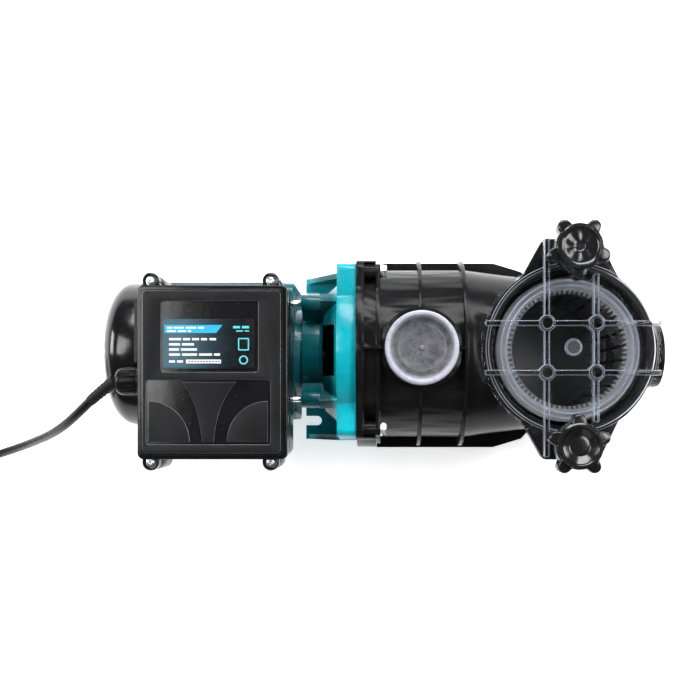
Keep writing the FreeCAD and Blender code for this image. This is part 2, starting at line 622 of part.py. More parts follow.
cuts = [
    cyl("x", p.split_x - 0.1, 72.0, 0, AZ, p.barrel_bore),
    cyl("x", 70.0, 100.0, 0, AZ, 24.2),
    cyl("z", p.pot_floor, p.pot_top + 1, p.pot_x, 0, p.pot_bore),
    cyl("x", 200.0, p.end_front + 1, 0, p.suction_z, p.port_bore),
    cyl("z", 140.0, p.port_top + 1, p.port_x, 0, p.port_bore),
    cut(cyl("x", p.split_x - 1, p.split_x + 3, 0, AZ, 75.6), cyl("x", p.split_x - 2, p.split_x + 4, 0, AZ, 72.4)),
    cut(cyl("z", p.pot_top - 2.6, p.pot_top + 1, p.pot_x, 0, 71.7), cyl("z", p.pot_top - 3, p.pot_top + 2, p.pot_x, 0, 67.5)),
    cyl("y", -90.0, -40.0, 40.0, 40.0, 7.0),
    cyl("y", -90.0, -60.0, p.pot_x, 42.0, 7.0),
    cut(common(cyl("x", 76.0, 118.0, 0, AZ, 64.0), box(75.0, 119.0, -70.0, 70.0, 20.0, 63.0)), cyl("z", 10.0, 80.0, p.pot_x, 0, p.pot_rad)),
]
channel_keep = fuse(cyl("x", -25.0, -5.0, 0, AZ, p.flange_rad - 4.5), *four(lambda y, z: cyl("x", -25.0, -5.0, y, z, 6.5), p.bolt_y, p.bolt_z), box(-25.0, -5.0, -1.0, 1.0, AZ, AZ + 90))
for s in (-1, 1):
    z0, z1 = (AZ + 40, AZ + 95) if s > 0 else (AZ - 95, AZ - 40)
    cuts.append(cut(box(-21.4, p.body_flange, -75.0, 75.0, z0, z1), channel_keep))
cuts += four(lambda y, z: cyl("x", p.split_x - 1, 0.0, y, z, 3.3), p.bolt_y, p.bolt_z)
cuts += [cyl("z", 144.0, p.pot_top + 1, p.knob_x, p.knob_y * s, p.stud_rad + 0.05) for s in (-1, 1)]
node("pump_body", cut(fuse(*outer), *cuts))

node("body_bolts", group(*[fuse(hexagon("x", -5.9, -1.9, y, z, 5.8), cyl("x", -40.0, -5.0, y, z, 3.0)) for sy in (-1, 1) for sz in (-1, 1) for y, z in [(p.bolt_y * sy, AZ + p.bolt_z * sz)]]))
node("body_washers", group(*[cut(cyl("x", p.lip_nose, -5.9, y, z, 6.0), cyl("x", -8.0, -5.0, y, z, 3.25)) for sy in (-1, 1) for sz in (-1, 1) for y, z in [(p.bolt_y * sy, AZ + p.bolt_z * sz)]]))

# Discharge cap: pushed over the thread, with a shallow tapered recess in its top.
turned(
    "discharge_cap",
    [(31.0, 174.6), (31.0, 187.0), (30.2, 188.6), (27.2, 188.6), (24.2, 183.2), (0, 183.2), (0, 181.4), (30.15, 181.4), (30.15, 174.6)],
    axis="z", x=p.port_x,
)

# ---------------------------------------------------------------- strainer
ears = padded(
    "lid_ears",
    [("poly", [(-40.5, 62.5), (-24.5, 91.5), (-21.5, 94.5), (24.0, 94.5), (27.0, 91.5), (42.0, 61.0), (42.0, -61.0), (27.0, -91.5), (24.0, -94.5), (-21.5, -94.5), (-24.5, -91.5), (-40.5, -62.5)])],
    p.lid_top - p.lid_low, x=p.pot_x, z=p.lid_low, register=False,
)
ribs = []
gx = p.pot_x - 1.5
for s in (-1, 1):
    ribs.append(box(p.pot_x - 73.5, p.pot_x + 73.5, p.grid_off * s - 2.2, p.grid_off * s + 2.2, p.lid_top - 1, p.grid_top))
    ribs.append(box(gx + p.grid_off * s - 2.2, gx + p.grid_off * s + 2.2, Dim.of(-92.5), Dim.of(92.5), p.lid_top - 1, p.grid_top))
grid = fuse(*ribs)
lid_bosses = [cyl("z", p.lid_top - 1, p.grid_top + 0.8, gx + p.grid_off * a, p.grid_off * b, 7.0) for a in (-1, 1) for b in (-1, 1)]
knob_space = [cyl("z", p.lid_top, p.grid_top + 2, p.knob_x, p.knob_y * s, 27.6) for s in (-1, 1)]
lid_solid = fuse(cyl("z", p.lid_low, p.lid_top, p.pot_x, 0, p.lid_rad), ears, cut(grid, *knob_space), *lid_bosses, cyl("z", p.lid_top - 1, p.lid_top + 3, p.pot_x + 1, 0, 7.3), cyl("z", 158.0, p.lid_low + 1, p.pot_x, 0, 65.4))
node("strainer_lid", cut(lid_solid, cyl("z", 157.0, p.lid_low, p.pot_x, 0, 62.4), *[cyl("z", 160.0, 180.0, p.knob_x, p.knob_y * s, 4.6) for s in (-1, 1)]))
node("lid_o_ring", turned("o_ring_lid", [(67.8, p.pot_top - 2.5), (71.4, p.pot_top - 2.5), (71.4, p.lid_low - 0.3), (67.8, p.lid_low - 0.3)], axis="z", x=p.pot_x, register=False))
node("lid_studs", group(*[cyl("z", 144.5, 197.0, p.knob_x, p.knob_y * s, p.stud_rad) for s in (-1, 1)]))
for tag, s in (("a", 1), ("b", -1)):
    node("knob_washer_" + tag, cut(cyl("z", p.lid_top + 0.05, p.lid_top + 1.6, p.knob_x, p.knob_y * s, 8.5), cyl("z", p.lid_top - 1, p.lid_top + 3, p.knob_x, p.knob_y * s, 4.4)))
    lobes = [
        cyl("z", p.knob_top - 19.5, p.knob_top - 4, p.knob_x + 20.8 * math.sin(math.radians(72 * k)), (p.knob_y - 20.8 * math.cos(math.radians(72 * k))) * s, 5.7)
        for k in range(5)
    ]
    node(
        "knob_" + tag,
        cut(
            fuse(cyl("z", p.knob_top - 20, p.knob_top, p.knob_x, p.knob_y * s, p.knob_rad), cyl("z", p.lid_top + 1.7, p.knob_top - 19, p.knob_x, p.knob_y * s, 11.0), *lobes),
            cyl("z", p.lid_top, 199.0, p.knob_x, p.knob_y * s, p.stud_rad + 0.06),
            cone("z", p.knob_top - 1.4, p.knob_top + 0.6, p.knob_x, p.knob_y * s, Dim.of(13.4), Dim.of(15.4)),
        ),
    )
basket = turned("basket_shell", [(0, 32.4), (53.0, 32.4), (58.5, 148.0), (62.0, 148.0), (62.0, 151.0), (56.5, 151.0), (51.0, 34.8), (0, 34.8)], axis="z", x=p.pot_x, register=False)
slits = []
for k in range(14):
    a = 180.0 / 14 * k + 6
    for z0, z1 in ((42.0, 86.0), (92.0, 140.0)):
        o = doc.addObject("Part::Box", "Slit")
        o.Length, o.Width, o.Height = 130.0, 3.2, z1 - z0
        c, s = math.cos(math.radians(a)), math.sin(math.radians(a))
        place(o, p.pot_x + (-65 * c + 1.6 * s), -65 * s - 1.6 * c, z0, Rot(V(0, 0, 1), a))
        slits.append(o)
mouth = cyl("x", 190.0, 215.0, 0, p.suction_z, 20.0)
node("strainer_basket", cut(basket, fuse(*slits), mouth))

# ---------------------------------------------------------------- drain plugs
for tag, x, z, y in (("pump", Dim.of(40.0), 40.0, -64.0), ("pot", p.pot_x, 42.0, -80.0)):
    node("drain_ring_" + tag, cut(cyl("y", y - 1.75, y - 0.1, x, z, 10.5), cyl("y", y - 3, y + 1, x, z, 7.35)))
    node("drain_plug_" + tag, fuse(cyl("y", y - 2.5, y + 10, x, z, 6.94), cyl("y", y - 4.0, y - 1.85, x, z, 11.0), hexagon("y", y - 9.0, y - 3.5, x, z, 8.0)))

# ---------------------------------------------------------------- terminal box
def rounded(x0, x1, y0, y1, z0, z1, r):
    parts = [box(x0 + r, x1 - r, y0, y1, z0, z1), box(x0, x1, y0 + r, y1 - r, z0, z1)]
    for cx in (x0 + r, x1 - r):
        for cy in (y0 + r, y1 - r):
            parts.append(cyl("z", z0, z1, cx, cy, r))
    return fuse(*parts)


SCREWS = [(x, y, s) for x in (p.screw_x0, p.screw_x1) for y, s in ((p.screw_y0, -1), (p.screw_y1, 1))]


def columns(z0, z1):
    out = []
    for x, y, s in SCREWS:
        out.append(cyl("z", z0, z1, x, y, 6.7))
        out.append(box(x - 4, x + 4, (y if s < 0 else y - 7), (y + 7 if s < 0 else y), z0, z1))
    return out


base_solid = fuse(rounded(p.box_x0 + 1, p.box_x1 - 1, p.box_y0 + 1, p.box_y1 - 1, p.box_seat, p.box_split - 2, 7.0), *columns(162.0, p.box_split - 0.1))
node(
    "box_base",
    cut(
        base_solid,
        box(p.box_x0 + 4, p.box_x1 - 4, p.box_y0 + 4, p.box_y1 - 4, p.box_seat + 3, p.box_split + 1),
        cyl("x", -203.0, -195.0, p.gland_y, p.gland_z, 8.1),
        cyl("z", 150.0, 158.0, -145.0, 0, 9.0),
        *[cyl("z", 184.0, 206.0, x, y, 2.0) for x, y, s in SCREWS],
    ),
)
node(
    "box_gasket",
    cut(box(p.box_x0 + 2, p.box_x1 - 2, p.box_y0 + 6.2, p.box_y1 - 6.2, p.box_split - 1.95, p.box_split - 0.1), box(p.box_x0 + 4, p.box_x1 - 4, p.box_y0 + 8, p.box_y1 - 8, 200.0, 206.0)),
)
lid_body = fuse(rounded(p.box_x0, p.box_x1, p.box_y0, p.box_y1, p.box_split, p.box_top - 3.2, 8.0), rounded(p.box_x0 + 3, p.box_x1 - 3, p.box_y0 + 3, p.box_y1 - 3, p.box_split + 1, p.box_top, 7.0), *columns(p.box_split, p.box_top - 6))
node(
    "box_lid",
    cut(
        lid_body,
        box(p.box_x0 + 3, p.box_x1 - 3, p.box_y0 + 3, p.box_y1 - 3, p.box_split - 1, p.box_top - 6.2),
        box(p.box_x0 + 6, p.box_x1 - 6, p.box_y0 + 6, p.box_y1 - 6, p.box_split - 1, p.box_top - 3),
        box(-181.2, -104.3, -21.7, 34.6, p.box_top - 0.8, p.box_top + 1),
        box(-193.2, -94.7, -79.2, -28.0, p.box_top - 0.8, p.box_top + 1),
        *[cyl("z", 203.0, 222.0, x, y, 2.0) for x, y, s in SCREWS],
        *[cyl("z", p.box_top - 6, p.box_top + 1, x, y, 4.2) for x, y, s in SCREWS],
    ),
)
node("box_screws", group(*[fuse(cyl("z", p.box_top - 6, p.box_top - 3.4, x, y, 3.4), cyl("z", 185.0, p.box_top - 5, x, y, 1.95)) for x, y, s in SCREWS]))
node("rating_plate", box(-179.9, -106.0, -19.1, 20.4, p.box_top - 0.8, p.box_top - 0.4))
node("capacitor", fuse(cyl("x", -188.0, -118.0, -62.0, 174.0, 17.5), cyl("x", -118.5, -112.0, -67.0, 174.0, 2.5), cyl("x", -118.5, -112.0, -57.0, 174.0, 2.5)))
node("terminal_block", cut(box(-178.0, -118.0, 16.0, 38.0, 155.0, 173.0), *[cyl("z", 166.0, 174.0, -171.0 + 9.2 * k, 27.0, 2.6) for k in range(6)]))

# ---------------------------------------------------------------- cable gland and mains cord
gy, gz = p.gland_y, p.gland_z
node(
    "cable_gland",
    fuse(
        hexagon("x", -207.0, p.box_x0 + 1, gy, gz, 13.0),
        cyl("x", p.box_x0 + 0.5, -189.0, gy, gz, 8.0),
        cyl("x", -219.5, -206.9, gy, gz, 11.4),
        cone("x", p.gland_end, -219.5, gy, gz, 7.2, 11.4),
    ),
)
node("gland_nut", cut(hexagon("x", -196.95, -191.5, gy, gz, 12.0), cyl("x", -198.0, -190.0, gy, gz, 8.1)))

# The cord leaves the gland, falls to the floor and runs to the coil.
ROUTE = [
    (-228.4, -28.6, 185.0), (-243.4, -39.0, 181.6), (-260.8, -53.0, 170.2), (-279.8, -65.0, 150.6), (-302.4, -73.6, 119.6), (-328.8, -80.6, 83.0),
    (-356.4, -87.6, 49.0), (-386.4, -95.2, 22.0), (-417.4, -103.4, 6.6), (-447.0, -111.6, 4.0), (-474.0, -118.5, 4.0),
]


def tube_path(points, least):
    q = [V(*a) for a in points]
    edges, at, radii = [], q[0], []
    for i in range(1, len(q) - 1):
        a, b = q[i] - q[i - 1], q[i + 1] - q[i]
        turn = a.getAngle(b)
        back = 0.45 * min(a.Length, b.Length)
        radius = back / math.tan(turn / 2)
        radii.append(round(radius, 1))
        a.normalize()
        b.normalize()
        t0, t1 = q[i] - a * back, q[i] + b * back
        bis = b - a
        bis.normalize()
        mid = q[i] + bis * (radius / math.cos(turn / 2) - radius)
        edges.append(Part.LineSegment(at, t0).toShape())
        edges.append(Part.Arc(t0, mid, t1).toShape())
        at = t1
    edges.append(Part.LineSegment(at, q[-1]).toShape())
    wire = Part.Wire(edges)
    print("cord radii", radii, "length", round(wire.Length, 1))
    if min(radii) < least:
        print("a bend is tighter than", least)
    return wire


route = tube_path(ROUTE, 34.0)
start = V(*ROUTE[1]) - V(*ROUTE[0])
profile = Part.Wire([Part.Circle(V(*ROUTE[0]), start, num(p.cord_rad)).toShape()])
tube = route.makePipeShell([profile], True, False)
want = math.pi * num(p.cord_rad) ** 2 * route.Length
print("cord volume", round(tube.Volume), "wanted", round(want))
if abs(tube.Volume / want - 1) > 0.02:
    sys.exit("the cord's volume is wrong")
cord = doc.addObject("Part::Feature", "mains_cord")
cord.Shape = tube
cord.Placement = FreeCAD.Placement()
node("mains_cord", cord)

# Coil of the put-away length, its tie and the plug.
node("cord_coil", cut(cyl("z", 1.0, 17.0, p.coil_x, p.coil_y, p.coil_rad + 8), cyl("z", 0.0, 18.0, p.coil_x, p.coil_y, p.coil_rad - 8)))
tie_at = p.coil_y + p.coil_rad
node(
    "coil_tie",
    cut(
        box(p.coil_x - 4, p.coil_x + 4, tie_at - 9.6, tie_at + 9.6, 0, 18.2),
        cut(cyl("z", 0.95, 17.05, p.coil_x, p.coil_y, p.coil_rad + 8.05), cyl("z", 0.0, 18.0, p.coil_x, p.coil_y, p.coil_rad - 8.05)),
    ),
)
px = p.coil_x - p.coil_rad
node(
    "mains_plug",
    fuse(
        cone("y", p.coil_y + 12, p.coil_y + 36, px, 17.0, 5.0, 11.0),
        cone("y", p.coil_y + 36, p.coil_y + 44, px, 18.5, 12.0, 18.5),
        cyl("y", p.coil_y + 44, p.coil_y + 66, px, 18.5, 18.5),
        cyl("y", p.coil_y + 65, p.coil_y + 85, px - 9.5, 18.5, 2.4),
        cyl("y", p.coil_y + 65, p.coil_y + 85, px + 9.5, 18.5, 2.4),
    ),
)

# ---------------------------------------------------------------- check and write
doc.recompute()
bad = [o.Name + ":" + o.Label for o in doc.Objects if "Invalid" in o.State or "Error" in o.State]
if bad:
    sys.exit("failed objects: " + ", ".join(bad))
os.makedirs("parts", exist_ok=True)
for old in os.listdir("parts"):
    if old.endswith(".step"):
        os.remove(os.path.join("parts", old))
for label, obj in sorted(NODES.items()):
    shape = obj.Shape
    if shape.isNull() or not shape.isValid() or shape.Volume <= 0:
        sys.exit("bad shape: " + label)
    if obj.Label != label:
        sys.exit("label differs: %s is %s" % (label, obj.Label))
for label, obj in sorted(NODES.items()):
    obj.Shape.exportStep(os.path.join("parts", label + ".step"))
    b = obj.Shape.BoundBox
    print("%-18s solids %2d vol %9.0f  x %7.1f %7.1f  y %7.1f %7.1f  z %6.1f %6.1f" % (label, len(obj.Shape.Solids), obj.Shape.Volume, b.XMin, b.XMax, b.YMin, b.YMax, b.ZMin, b.ZMax))
print(len(NODES), "nodes")
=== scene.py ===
import json
import math

import bmesh
import bpy
from mathutils import Matrix, Vector


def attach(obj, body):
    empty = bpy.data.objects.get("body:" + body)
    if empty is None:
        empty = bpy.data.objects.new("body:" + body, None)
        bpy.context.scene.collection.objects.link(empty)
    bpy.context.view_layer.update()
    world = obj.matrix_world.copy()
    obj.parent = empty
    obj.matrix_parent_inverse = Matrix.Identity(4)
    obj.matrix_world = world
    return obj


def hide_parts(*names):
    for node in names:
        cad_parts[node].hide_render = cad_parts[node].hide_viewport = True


# Pool pump. Helper functions take millimetres in the row frame and give objects in metres.
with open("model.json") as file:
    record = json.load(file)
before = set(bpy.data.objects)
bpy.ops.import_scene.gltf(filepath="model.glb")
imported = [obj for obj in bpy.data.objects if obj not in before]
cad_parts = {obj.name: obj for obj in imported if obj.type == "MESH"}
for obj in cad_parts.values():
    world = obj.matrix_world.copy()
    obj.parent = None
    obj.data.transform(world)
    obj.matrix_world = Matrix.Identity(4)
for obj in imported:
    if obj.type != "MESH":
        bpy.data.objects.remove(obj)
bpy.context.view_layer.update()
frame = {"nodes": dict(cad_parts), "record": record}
N = frame["nodes"]
SC = bpy.context.scene
MM = 0.001
rad = math.radians


def link(obj):
    SC.collection.objects.link(obj)
    return obj


# ---------------------------------------------------------------- camera
cam = link(bpy.data.objects.new("camera", bpy.data.cameras.new("camera")))
cam.location = (-0.0077, -0.0534, 0.995)
cam.data.lens = 50.3
cam.data.sensor_width = 36.0
cam.data.shift_x = -0.0429
cam.data.shift_y = 0.0886
SC.camera = cam

# ---------------------------------------------------------------- materials


class Mat:
    """A Principled material with short calls for its procedural detail."""

    def __init__(self, name, colour, rough, metal=0.0, **more):
        self.m = bpy.data.materials.new(name)
        self.m.use_nodes = True
        self.t = self.m.node_tree
        self.b = self.t.nodes["Principled BSDF"]
        self.at = self.t.nodes.new("ShaderNodeTexCoord").outputs["Object"]
        self.b.inputs["Base Color"].default_value = (*colour, 1)
        self.b.inputs["Roughness"].default_value = rough
        self.b.inputs["Metallic"].default_value = metal
        for k, v in more.items():
            self.b.inputs[k.replace("_", " ")].default_value = v
        self.m.diffuse_color = (*colour, 1)

    def wire(self, a, b):
        self.t.links.new(a, b)

    def scaled(self, x, y, z, turn=(0, 0, 0)):
        n = self.t.nodes.new("ShaderNodeMapping")
        n.inputs["Scale"].default_value = (x, y, z)
        n.inputs["Rotation"].default_value = turn
        self.wire(self.at, n.inputs["Vector"])
        return n.outputs[0]

    def noise(self, scale, detail=2.0, rough=0.5, at=None, warp=0.0):
        n = self.t.nodes.new("ShaderNodeTexNoise")
        n.inputs["Scale"].default_value = scale
        n.inputs["Detail"].default_value = detail
        n.inputs["Roughness"].default_value = rough
        n.inputs["Distortion"].default_value = warp
        self.wire(at or self.at, n.inputs["Vector"])
        return n.outputs[0]

    def cells(self, scale, feature="F1", at=None):
        n = self.t.nodes.new("ShaderNodeTexVoronoi")
        n.inputs["Scale"].default_value = scale
        n.feature = feature
        self.wire(at or self.at, n.inputs["Vector"])
        return n.outputs["Distance"]

    def axis(self, which, at=None):
        n = self.t.nodes.new("ShaderNodeSeparateXYZ")
        self.wire(at or self.at, n.inputs[0])
        return n.outputs["XYZ".index(which)]

    def span(self, v, a, b, c, d, smooth=False):
        n = self.t.nodes.new("ShaderNodeMapRange")
        if smooth:
            n.interpolation_type = "SMOOTHSTEP"
        for i, x in enumerate((a, b, c, d), 1):
            n.inputs[i].default_value = x
        self.wire(v, n.inputs[0])
        return n.outputs[0]

    def sum(self, a, b, op="ADD"):
        n = self.t.nodes.new("ShaderNodeMath")
        n.operation = op
        for i, x in enumerate((a, b)):
            if isinstance(x, (int, float)):
                n.inputs[i].default_value = x
            else:
                self.wire(x, n.inputs[i])
        return n.outputs[0]

    def mix(self, fac, a, b):
        n = self.t.nodes.new("ShaderNodeMix")
        n.data_type = "RGBA"
        self.wire(fac, n.inputs[0])
        for i, x in ((6, a), (7, b)):
            if isinstance(x, tuple):
                n.inputs[i].default_value = (*x, 1)
            else:
                self.wire(x, n.inputs[i])
        return n.outputs[2]

    def colour(self, c):
        self.wire(c, self.b.inputs["Base Color"])
        return self

    def rough(self, v):
        self.wire(v, self.b.inputs["Roughness"])
        return self

    def bump(self, height, strength, deep, over=None):
        n = self.t.nodes.new("ShaderNodeBump")
        n.inputs["Strength"].default_value = strength
        n.inputs["Distance"].default_value = deep
        self.wire(height, n.inputs["Height"])
        if over:
            self.wire(over, n.inputs["Normal"])
        return n.outputs[0]

    def normal(self, n):
        self.wire(n, self.b.inputs["Normal"])
        return self


def plastic(name, dark, light, r0, r1, grain, deep, coarse=0.0, spec=0.3, dust=0.0):
    """Moulded plastic: slow colour drift, uneven gloss, a fine surface grain and a few dust specks."""
    m = Mat(name, dark, (r0 + r1) / 2, Specular_IOR_Level=spec)
    slow = m.noise(23, 3)
    fine = m.noise(260, 4, 0.6)
    c = m.mix(m.span(slow, 0.35, 0.68, 0, 1), dark, light)
    if dust:
        speck = m.span(m.noise(900, 1), 0.735, 0.78, 0, dust)
        c = m.mix(speck, c, (0.25, 0.25, 0.26))
    m.colour(c)
    m.rough(m.span(m.sum(fine, m.noise(17, 2), "MULTIPLY"), 0.14, 0.4, r0, r1))
    n = m.bump(m.noise(grain, 3, 0.6), 0.5, deep)
    if coarse:
        n = m.bump(m.noise(75, 2), 0.5, coarse, n)
    m.normal(n)
    return m.m


def spark(name, dark, light, r0, r1, deep):
    """Spark-eroded black plastic: shallow pits about half a millimetre across."""
    m = Mat(name, dark, (r0 + r1) / 2, Specular_IOR_Level=0.16)
    pits = m.sum(m.cells(1500), m.noise(2100, 3, 0.65))
    m.colour(m.mix(m.span(m.noise(31, 3), 0.35, 0.65, 0, 1), dark, light))
    m.rough(m.span(m.noise(420, 3), 0.3, 0.7, r0, r1))
    m.normal(m.bump(m.noise(60, 2), 0.35, 0.00035, m.bump(pits, 0.6, deep)))
    return m.m


def paint(name, deep_c, light_c):
    """Gloss paint on a casting: orange peel over a slightly uneven cast skin, with painted shade on the +Y side and
    towards the motor end.
    """
    m = Mat(name, deep_c, 0.3, Coat_Weight=0.15, Coat_Roughness=0.1, Specular_IOR_Level=0.25)
    cast = m.noise(95, 4, 0.6)
    c = m.mix(m.span(m.noise(28, 3), 0.34, 0.68, 0, 1), deep_c, light_c)
    # painted shade: the teal darkens towards the +Y side, mixed up to 0.6 of the way to 0.3 of the deep colour
    c = m.mix(m.span(m.axis("Y"), -0.05, 0.05, 0, 0.6, True), c, tuple(0.3 * v for v in deep_c))
    # painted shade: towards the motor end (X below about -48 mm) the teal is mixed down to 0.17 of the deep colour, at
    # a quarter strength near the floor
    motor_end_shade = m.span(m.sum(m.axis("X"), m.span(m.noise(40, 2), 0, 1, -0.003, 0.003)), -0.0515, -0.0445, 1, 0, True)
    shade_height_weight = m.span(m.axis("Z"), 0.011, 0.03, 0.25, 1, True)
    m.colour(m.mix(m.sum(motor_end_shade, shade_height_weight, "MULTIPLY"), c, tuple(0.17 * v for v in deep_c)))
    m.rough(m.span(m.noise(150, 3), 0.3, 0.7, 0.24, 0.4))
    m.normal(m.bump(m.noise(520, 2), 0.25, 0.00012, m.bump(cast, 0.45, 0.0004)))
    return m.m


def metal(name, dark, light, r0, r1, stretch=(40, 40, 900), deep=0.00003):
    """Bright metal with a drawn or turned grain."""
    m = Mat(name, dark, (r0 + r1) / 2, 1.0)
    grain = m.noise(1.0, 3, 0.6, m.scaled(*stretch))
    m.colour(m.mix(m.span(m.noise(70, 3), 0.35, 0.65, 0, 1), dark, light))
    m.rough(m.span(m.sum(grain, m.noise(240, 2), "MULTIPLY"), 0.12, 0.4, r0, r1))
    m.normal(m.bump(grain, 0.5, deep))
    return m.m


def cast_metal(name, dark, light):
    m = Mat(name, dark, 0.5, 0.9)
    m.colour(m.mix(m.span(m.noise(60, 4), 0.35, 0.65, 0, 1), dark, light))
    m.rough(m.span(m.noise(300, 3), 0.3, 0.7, 0.42, 0.6))
    m.normal(m.bump(m.sum(m.noise(700, 3), m.cells(420), "MULTIPLY"), 0.5, 0.0002))
    return m.m


def clear(name, tint=(0.955, 0.975, 1.0), let=1.0, alpha=0.2, r0=0.008, r1=0.06):
    """Clear polycarbonate with light handling marks."""
    m = Mat(name, tint, r0 + 0.03, Transmission_Weight=let, IOR=1.5, Specular_IOR_Level=0.35, Alpha=alpha)
    scratch = m.span(m.noise(1.0, 2, 0.6, m.scaled(35, 1400, 35, (0, 0, 0.6))), 0.62, 0.72, 0, 1)
    m.rough(m.span(m.sum(m.noise(36, 4), scratch), 0.4, 1.7, r0, r1))
    m.normal(m.bump(m.noise(33, 2), 0.3, 0.0005))
    return m.m


def wound(name):
    """Enamelled wire, laid round the shaft."""
    m = Mat(name, (0.35, 0.1, 0.03), 0.35, 0.7)
    m.colour(m.mix(m.noise(300, 2), (0.25, 0.06, 0.015), (0.55, 0.2, 0.07)))
    m.normal(m.bump(m.noise(1.0, 2, 0.5, m.scaled(1600, 90, 90)), 0.8, 0.0004))
    return m.m


def soft_grey(name):
    """Thin translucent polyethylene: pale lavender grey with a waxy surface and faint cloudy flow, and painted shade on
    the floor of the top recess.
    """
    m = Mat(name, (0.5, 0.51, 0.56), 0.38, Transmission_Weight=0.12, IOR=1.5, Subsurface_Weight=0.25, Subsurface_Scale=0.002)
    flow = m.noise(70, 5, 0.62, None, 1.2)
    c = m.mix(m.span(flow, 0.35, 0.68, 0, 1), (0.38, 0.39, 0.46), (0.5, 0.51, 0.58))
    # painted shade: below about 187 mm the recess floor takes a much darker grey
    c = m.mix(m.span(m.axis("Z"), 0.18345, 0.187, 1, 0), c, m.mix(m.span(m.noise(120, 5, 0.7), 0.35, 0.65, 0, 1), (0.055, 0.058, 0.065), (0.15, 0.153, 0.168)))
    m.colour(m.mix(m.span(m.noise(800, 1), 0.71, 0.75, 0, 0.5), c, (0.02, 0.02, 0.024)))
    m.rough(m.span(m.noise(220, 3), 0.3, 0.7, 0.26, 0.46))
    m.normal(m.bump(flow, 0.4, 0.0005, m.bump(m.noise(900, 2), 0.3, 0.00008)))
    return m.m


def printed(name):
    """The rating label: slate blue at one end, black at the other, under a satin film."""
    m = Mat(name, (0.02, 0.03, 0.04), 0.35, Specular_IOR_Level=0.2)
    g = m.span(m.axis("X"), -0.181, -0.118, 0, 1, True)
    c = m.mix(g, (0.03, 0.085, 0.12), (0.002, 0.003, 0.004))
    m.colour(m.mix(m.span(m.noise(2600, 1), 0.6, 0.75, 0, 0.12), c, (0.3, 0.33, 0.36)))
    m.rough(m.span(m.noise(180, 3), 0.3, 0.7, 0.28, 0.42))
    m.normal(m.bump(m.noise(700, 2), 0.2, 0.00004))
    return m.m


def ink(name, colour, rough=0.45):
    m = Mat(name, colour, rough)
    low = tuple(0.86 * c for c in colour)
    m.colour(m.mix(m.span(m.noise(1500, 2), 0.3, 0.7, 0, 1), low, colour))
    m.rough(m.span(m.noise(300, 2), 0.3, 0.7, rough - 0.08, rough + 0.08))
    return m.m


BLACK = plastic("black_gloss", (0.0042, 0.0043, 0.0048), (0.0075, 0.0076, 0.0083), 0.14, 0.25, 1500, 0.00006, 0.0003, 0.25, dust=0.3)
SATIN = plastic("black_satin", (0.0055, 0.0056, 0.0061), (0.009, 0.0091, 0.0098), 0.2, 0.27, 2300, 0.00006, 0.00004, 0.11, dust=0.15)
GRAINED = spark("black_textured", (0.0075, 0.0076, 0.0083), (0.0125, 0.0127, 0.0138), 0.36, 0.5, 0.00008)
COVER = plastic("black_cover", (0.0035, 0.0036, 0.004), (0.0062, 0.0063, 0.0069), 0.1, 0.2, 700, 0.00005, 0.0003, 0.4, dust=0.2)
# painted highlight: a lit grey for the side walls of the lid's raised frame and pads, so they read as bright edge lines
WALL_HIGHLIGHT = plastic("black_edge", (0.1, 0.101, 0.105), (0.17, 0.171, 0.178), 0.16, 0.26, 1500, 0.00005, 0.0, 0.8)
KNOB = plastic("black_knob", (0.005, 0.0051, 0.0056), (0.009, 0.0091, 0.0098), 0.1, 0.22, 1100, 0.00007, 0.0005, 0.5, dust=0.2)
TEAL = paint("teal_paint", (0.001, 0.44, 0.53), (0.002, 0.54, 0.63))
STEEL = metal("steel", (0.7, 0.7, 0.71), (0.88, 0.88, 0.89), 0.22, 0.42)
DARK_STEEL = metal("dark_steel", (0.09, 0.09, 0.095), (0.2, 0.2, 0.205), 0.3, 0.5, (900, 60, 60))
CAST = cast_metal("aluminium_die", (0.42, 0.43, 0.45), (0.58, 0.59, 0.6))
RUBBER = plastic("rubber_black", (0.007, 0.007, 0.0072), (0.012, 0.012, 0.0123), 0.5, 0.7, 1900, 0.00012, 0.0, 0.2)
CLEAR = clear("clear_polycarbonate")
# painted highlight: a paler, less see-through copy of the polycarbonate for rib sides and the inner rings, so they read
# as bright lines
RIB_HIGHLIGHT = clear("clear_ribs_painted_highlight", (0.62, 0.68, 0.8), 0.5, 0.75, 0.1, 0.3)
BUTTON = clear("clear_button", (0.42, 0.46, 0.52), 0.8, 0.5, 0.12, 0.3)
CAP = soft_grey("grey_cap")
LABEL = printed("label")
# painted shade: a darker copy of the grey plastic for the basket body inside the pot; its rim keeps the lighter grey
SHADED_BASKET = plastic("basket_grey_painted_shade", (0.06, 0.062, 0.068), (0.1, 0.103, 0.112), 0.28, 0.42, 1300, 0.0001, 0.0003)
GREY = plastic("grey_plastic", (0.17, 0.175, 0.185), (0.24, 0.245, 0.255), 0.34, 0.5, 1300, 0.0001, 0.0003)
WHITE = plastic("white_plastic", (0.62, 0.61, 0.58), (0.74, 0.73, 0.7), 0.3, 0.45, 1200, 0.00008)
CERAMIC = plastic("ceramic", (0.6, 0.58, 0.53), (0.72, 0.7, 0.66), 0.2, 0.3, 1800, 0.00004)
COPPER = wound("copper")
PVC = plastic("cord_pvc", (0.0055, 0.0055, 0.006), (0.01, 0.01, 0.0105), 0.24, 0.36, 1400, 0.00008, 0.0001, 0.16, dust=0.15)
CYAN = ink("print_cyan", (0.01, 0.36, 0.6))
AQUA = ink("print_aqua", (0.08, 0.55, 0.62))
PALE = ink("print_pale", (0.62, 0.66, 0.68))
PAPER = ink("print_white", (0.75, 0.77, 0.78))

